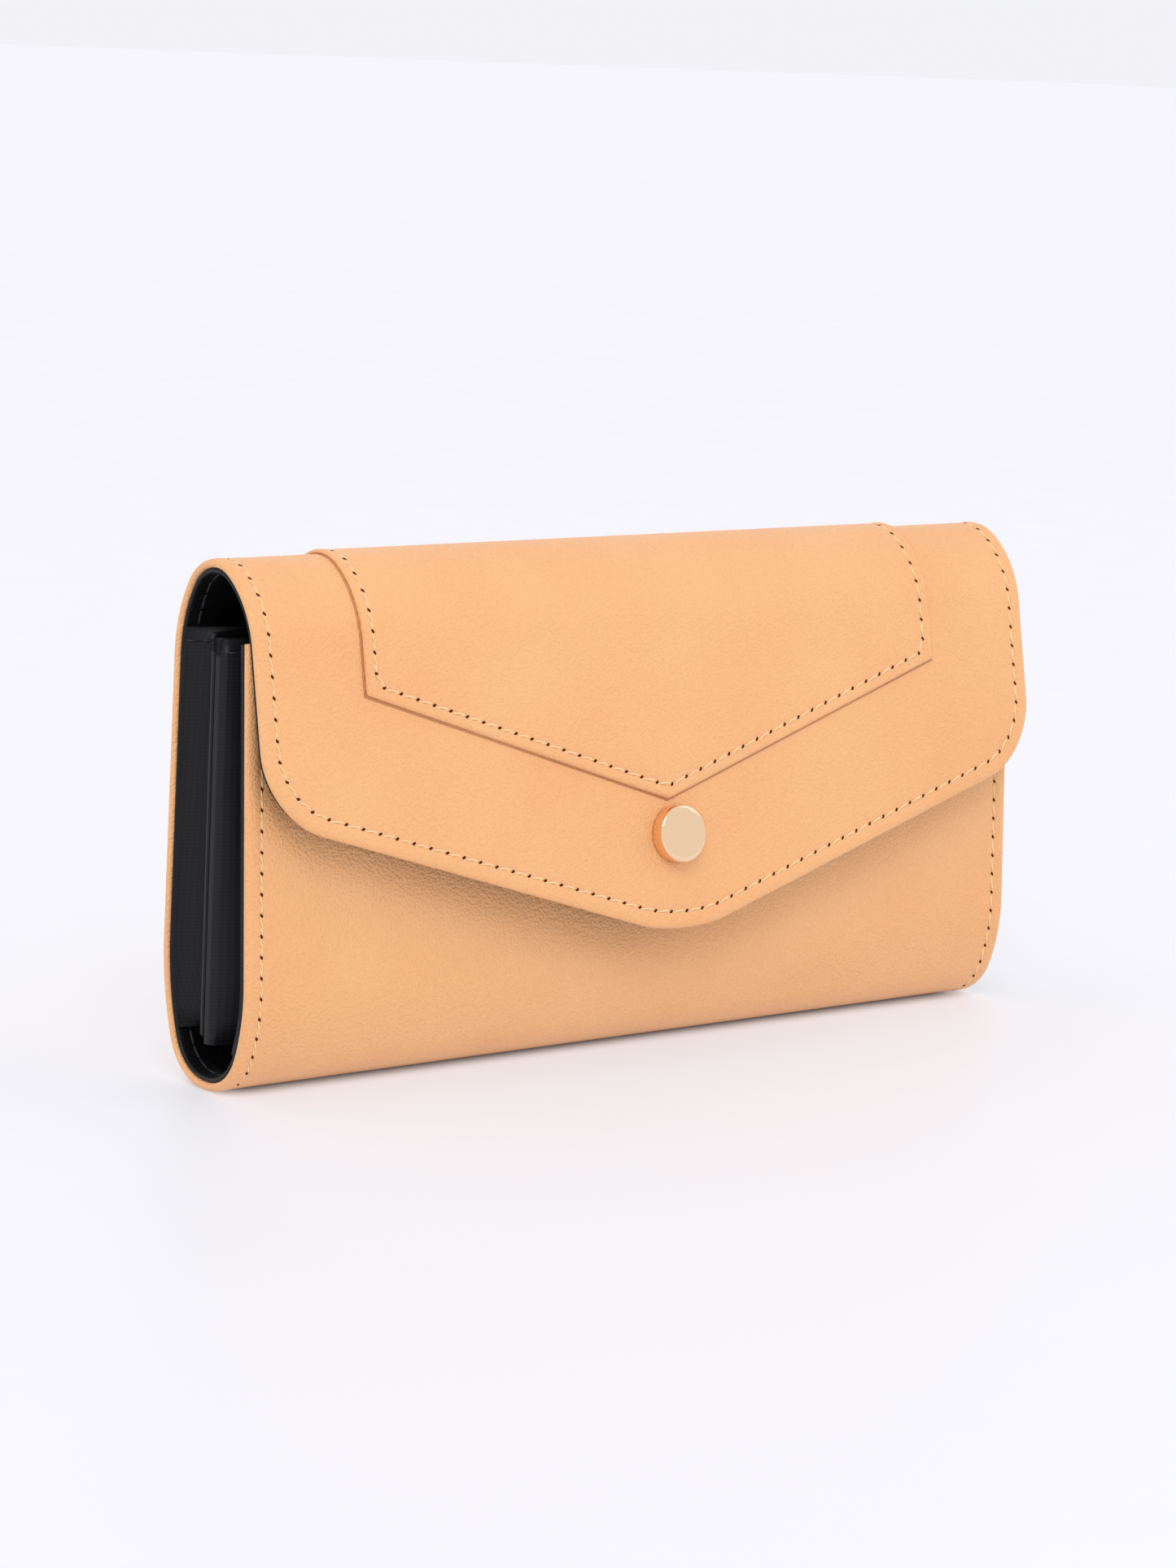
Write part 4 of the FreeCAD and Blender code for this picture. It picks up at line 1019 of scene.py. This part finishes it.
def set_stage():
    """A pale room, two softboxes and a sheet of white acrylic: satin, glowing evenly, with a painted
    contact shadow where the wallet stands.
    """
    world = bpy.data.worlds.new("studio")
    bpy.context.scene.world = world
    world.use_nodes = True
    world.node_tree.nodes["Background"].inputs["Color"].default_value = linear("#FAFAFE")
    world.node_tree.nodes["Background"].inputs["Strength"].default_value = 0.93
    add_softbox("key_softbox", (-0.9, -1.2, 1.5), 10, 0.9)
    add_softbox("right_softbox", (1.3, -0.7, 0.9), 1.5, 1.0)
    bm = bmesh.new()
    bmesh.ops.create_grid(bm, x_segments=1, y_segments=1, size=12.0)
    paper, tree, shader = start_material("glowing_white_acrylic_painted_shadow", {
        "Base Color": linear("#AEAEB2"), "IOR": 1.3, "Emission Color": linear("#F8F8FC"),
    })
    place = add(tree, "ShaderNodeTexCoord", {}).outputs["Object"]
    speck = add(tree, "ShaderNodeTexNoise", {"Scale": per_mm(25), "Detail": 2.0}, {"Vector": place})
    rough = add(tree, "ShaderNodeMapRange", {"To Min": 0.45, "To Max": 0.55},
                {"Value": speck.outputs["Fac"]})
    tree.links.new(rough.outputs["Result"], shader.inputs["Roughness"])
    # the glow fades out over the strip that the wallet stands on: a painted contact shadow
    spot = add(tree, "ShaderNodeSeparateXYZ", {}, {0: place})
    along = add(tree, "ShaderNodeMath", {"operation": "ABSOLUTE"}, {0: spot.outputs["X"]})
    past = add(tree, "ShaderNodeMath", {"operation": "SUBTRACT", 1: SHADOW_STRIP_HALF, "use_clamp": True},
               {0: along.outputs[0]})
    flat = add(tree, "ShaderNodeCombineXYZ", {}, {"X": past.outputs[0], "Y": spot.outputs["Y"]})
    away = add(tree, "ShaderNodeVectorMath", {"operation": "LENGTH"}, {0: flat.outputs[0]})
    glow = add(tree, "ShaderNodeMapRange", {
        "interpolation_type": "SMOOTHSTEP", "From Min": GLOW_FROM, "From Max": GLOW_FULL,
        "To Max": GLOW,
    }, {"Value": away.outputs["Value"]})
    tree.links.new(glow.outputs["Result"], shader.inputs["Emission Strength"])
    floor = finish_mesh("floor", bm, paper, smooth=False)
    bpy.context.scene.view_settings.view_transform = "Standard"


set_camera()
set_stage()
make_shell()
make_lining()
make_overlay()
make_snap()
make_gussets()
make_card_slots()
make_pocket()
make_zip()
finish_frame_parts()
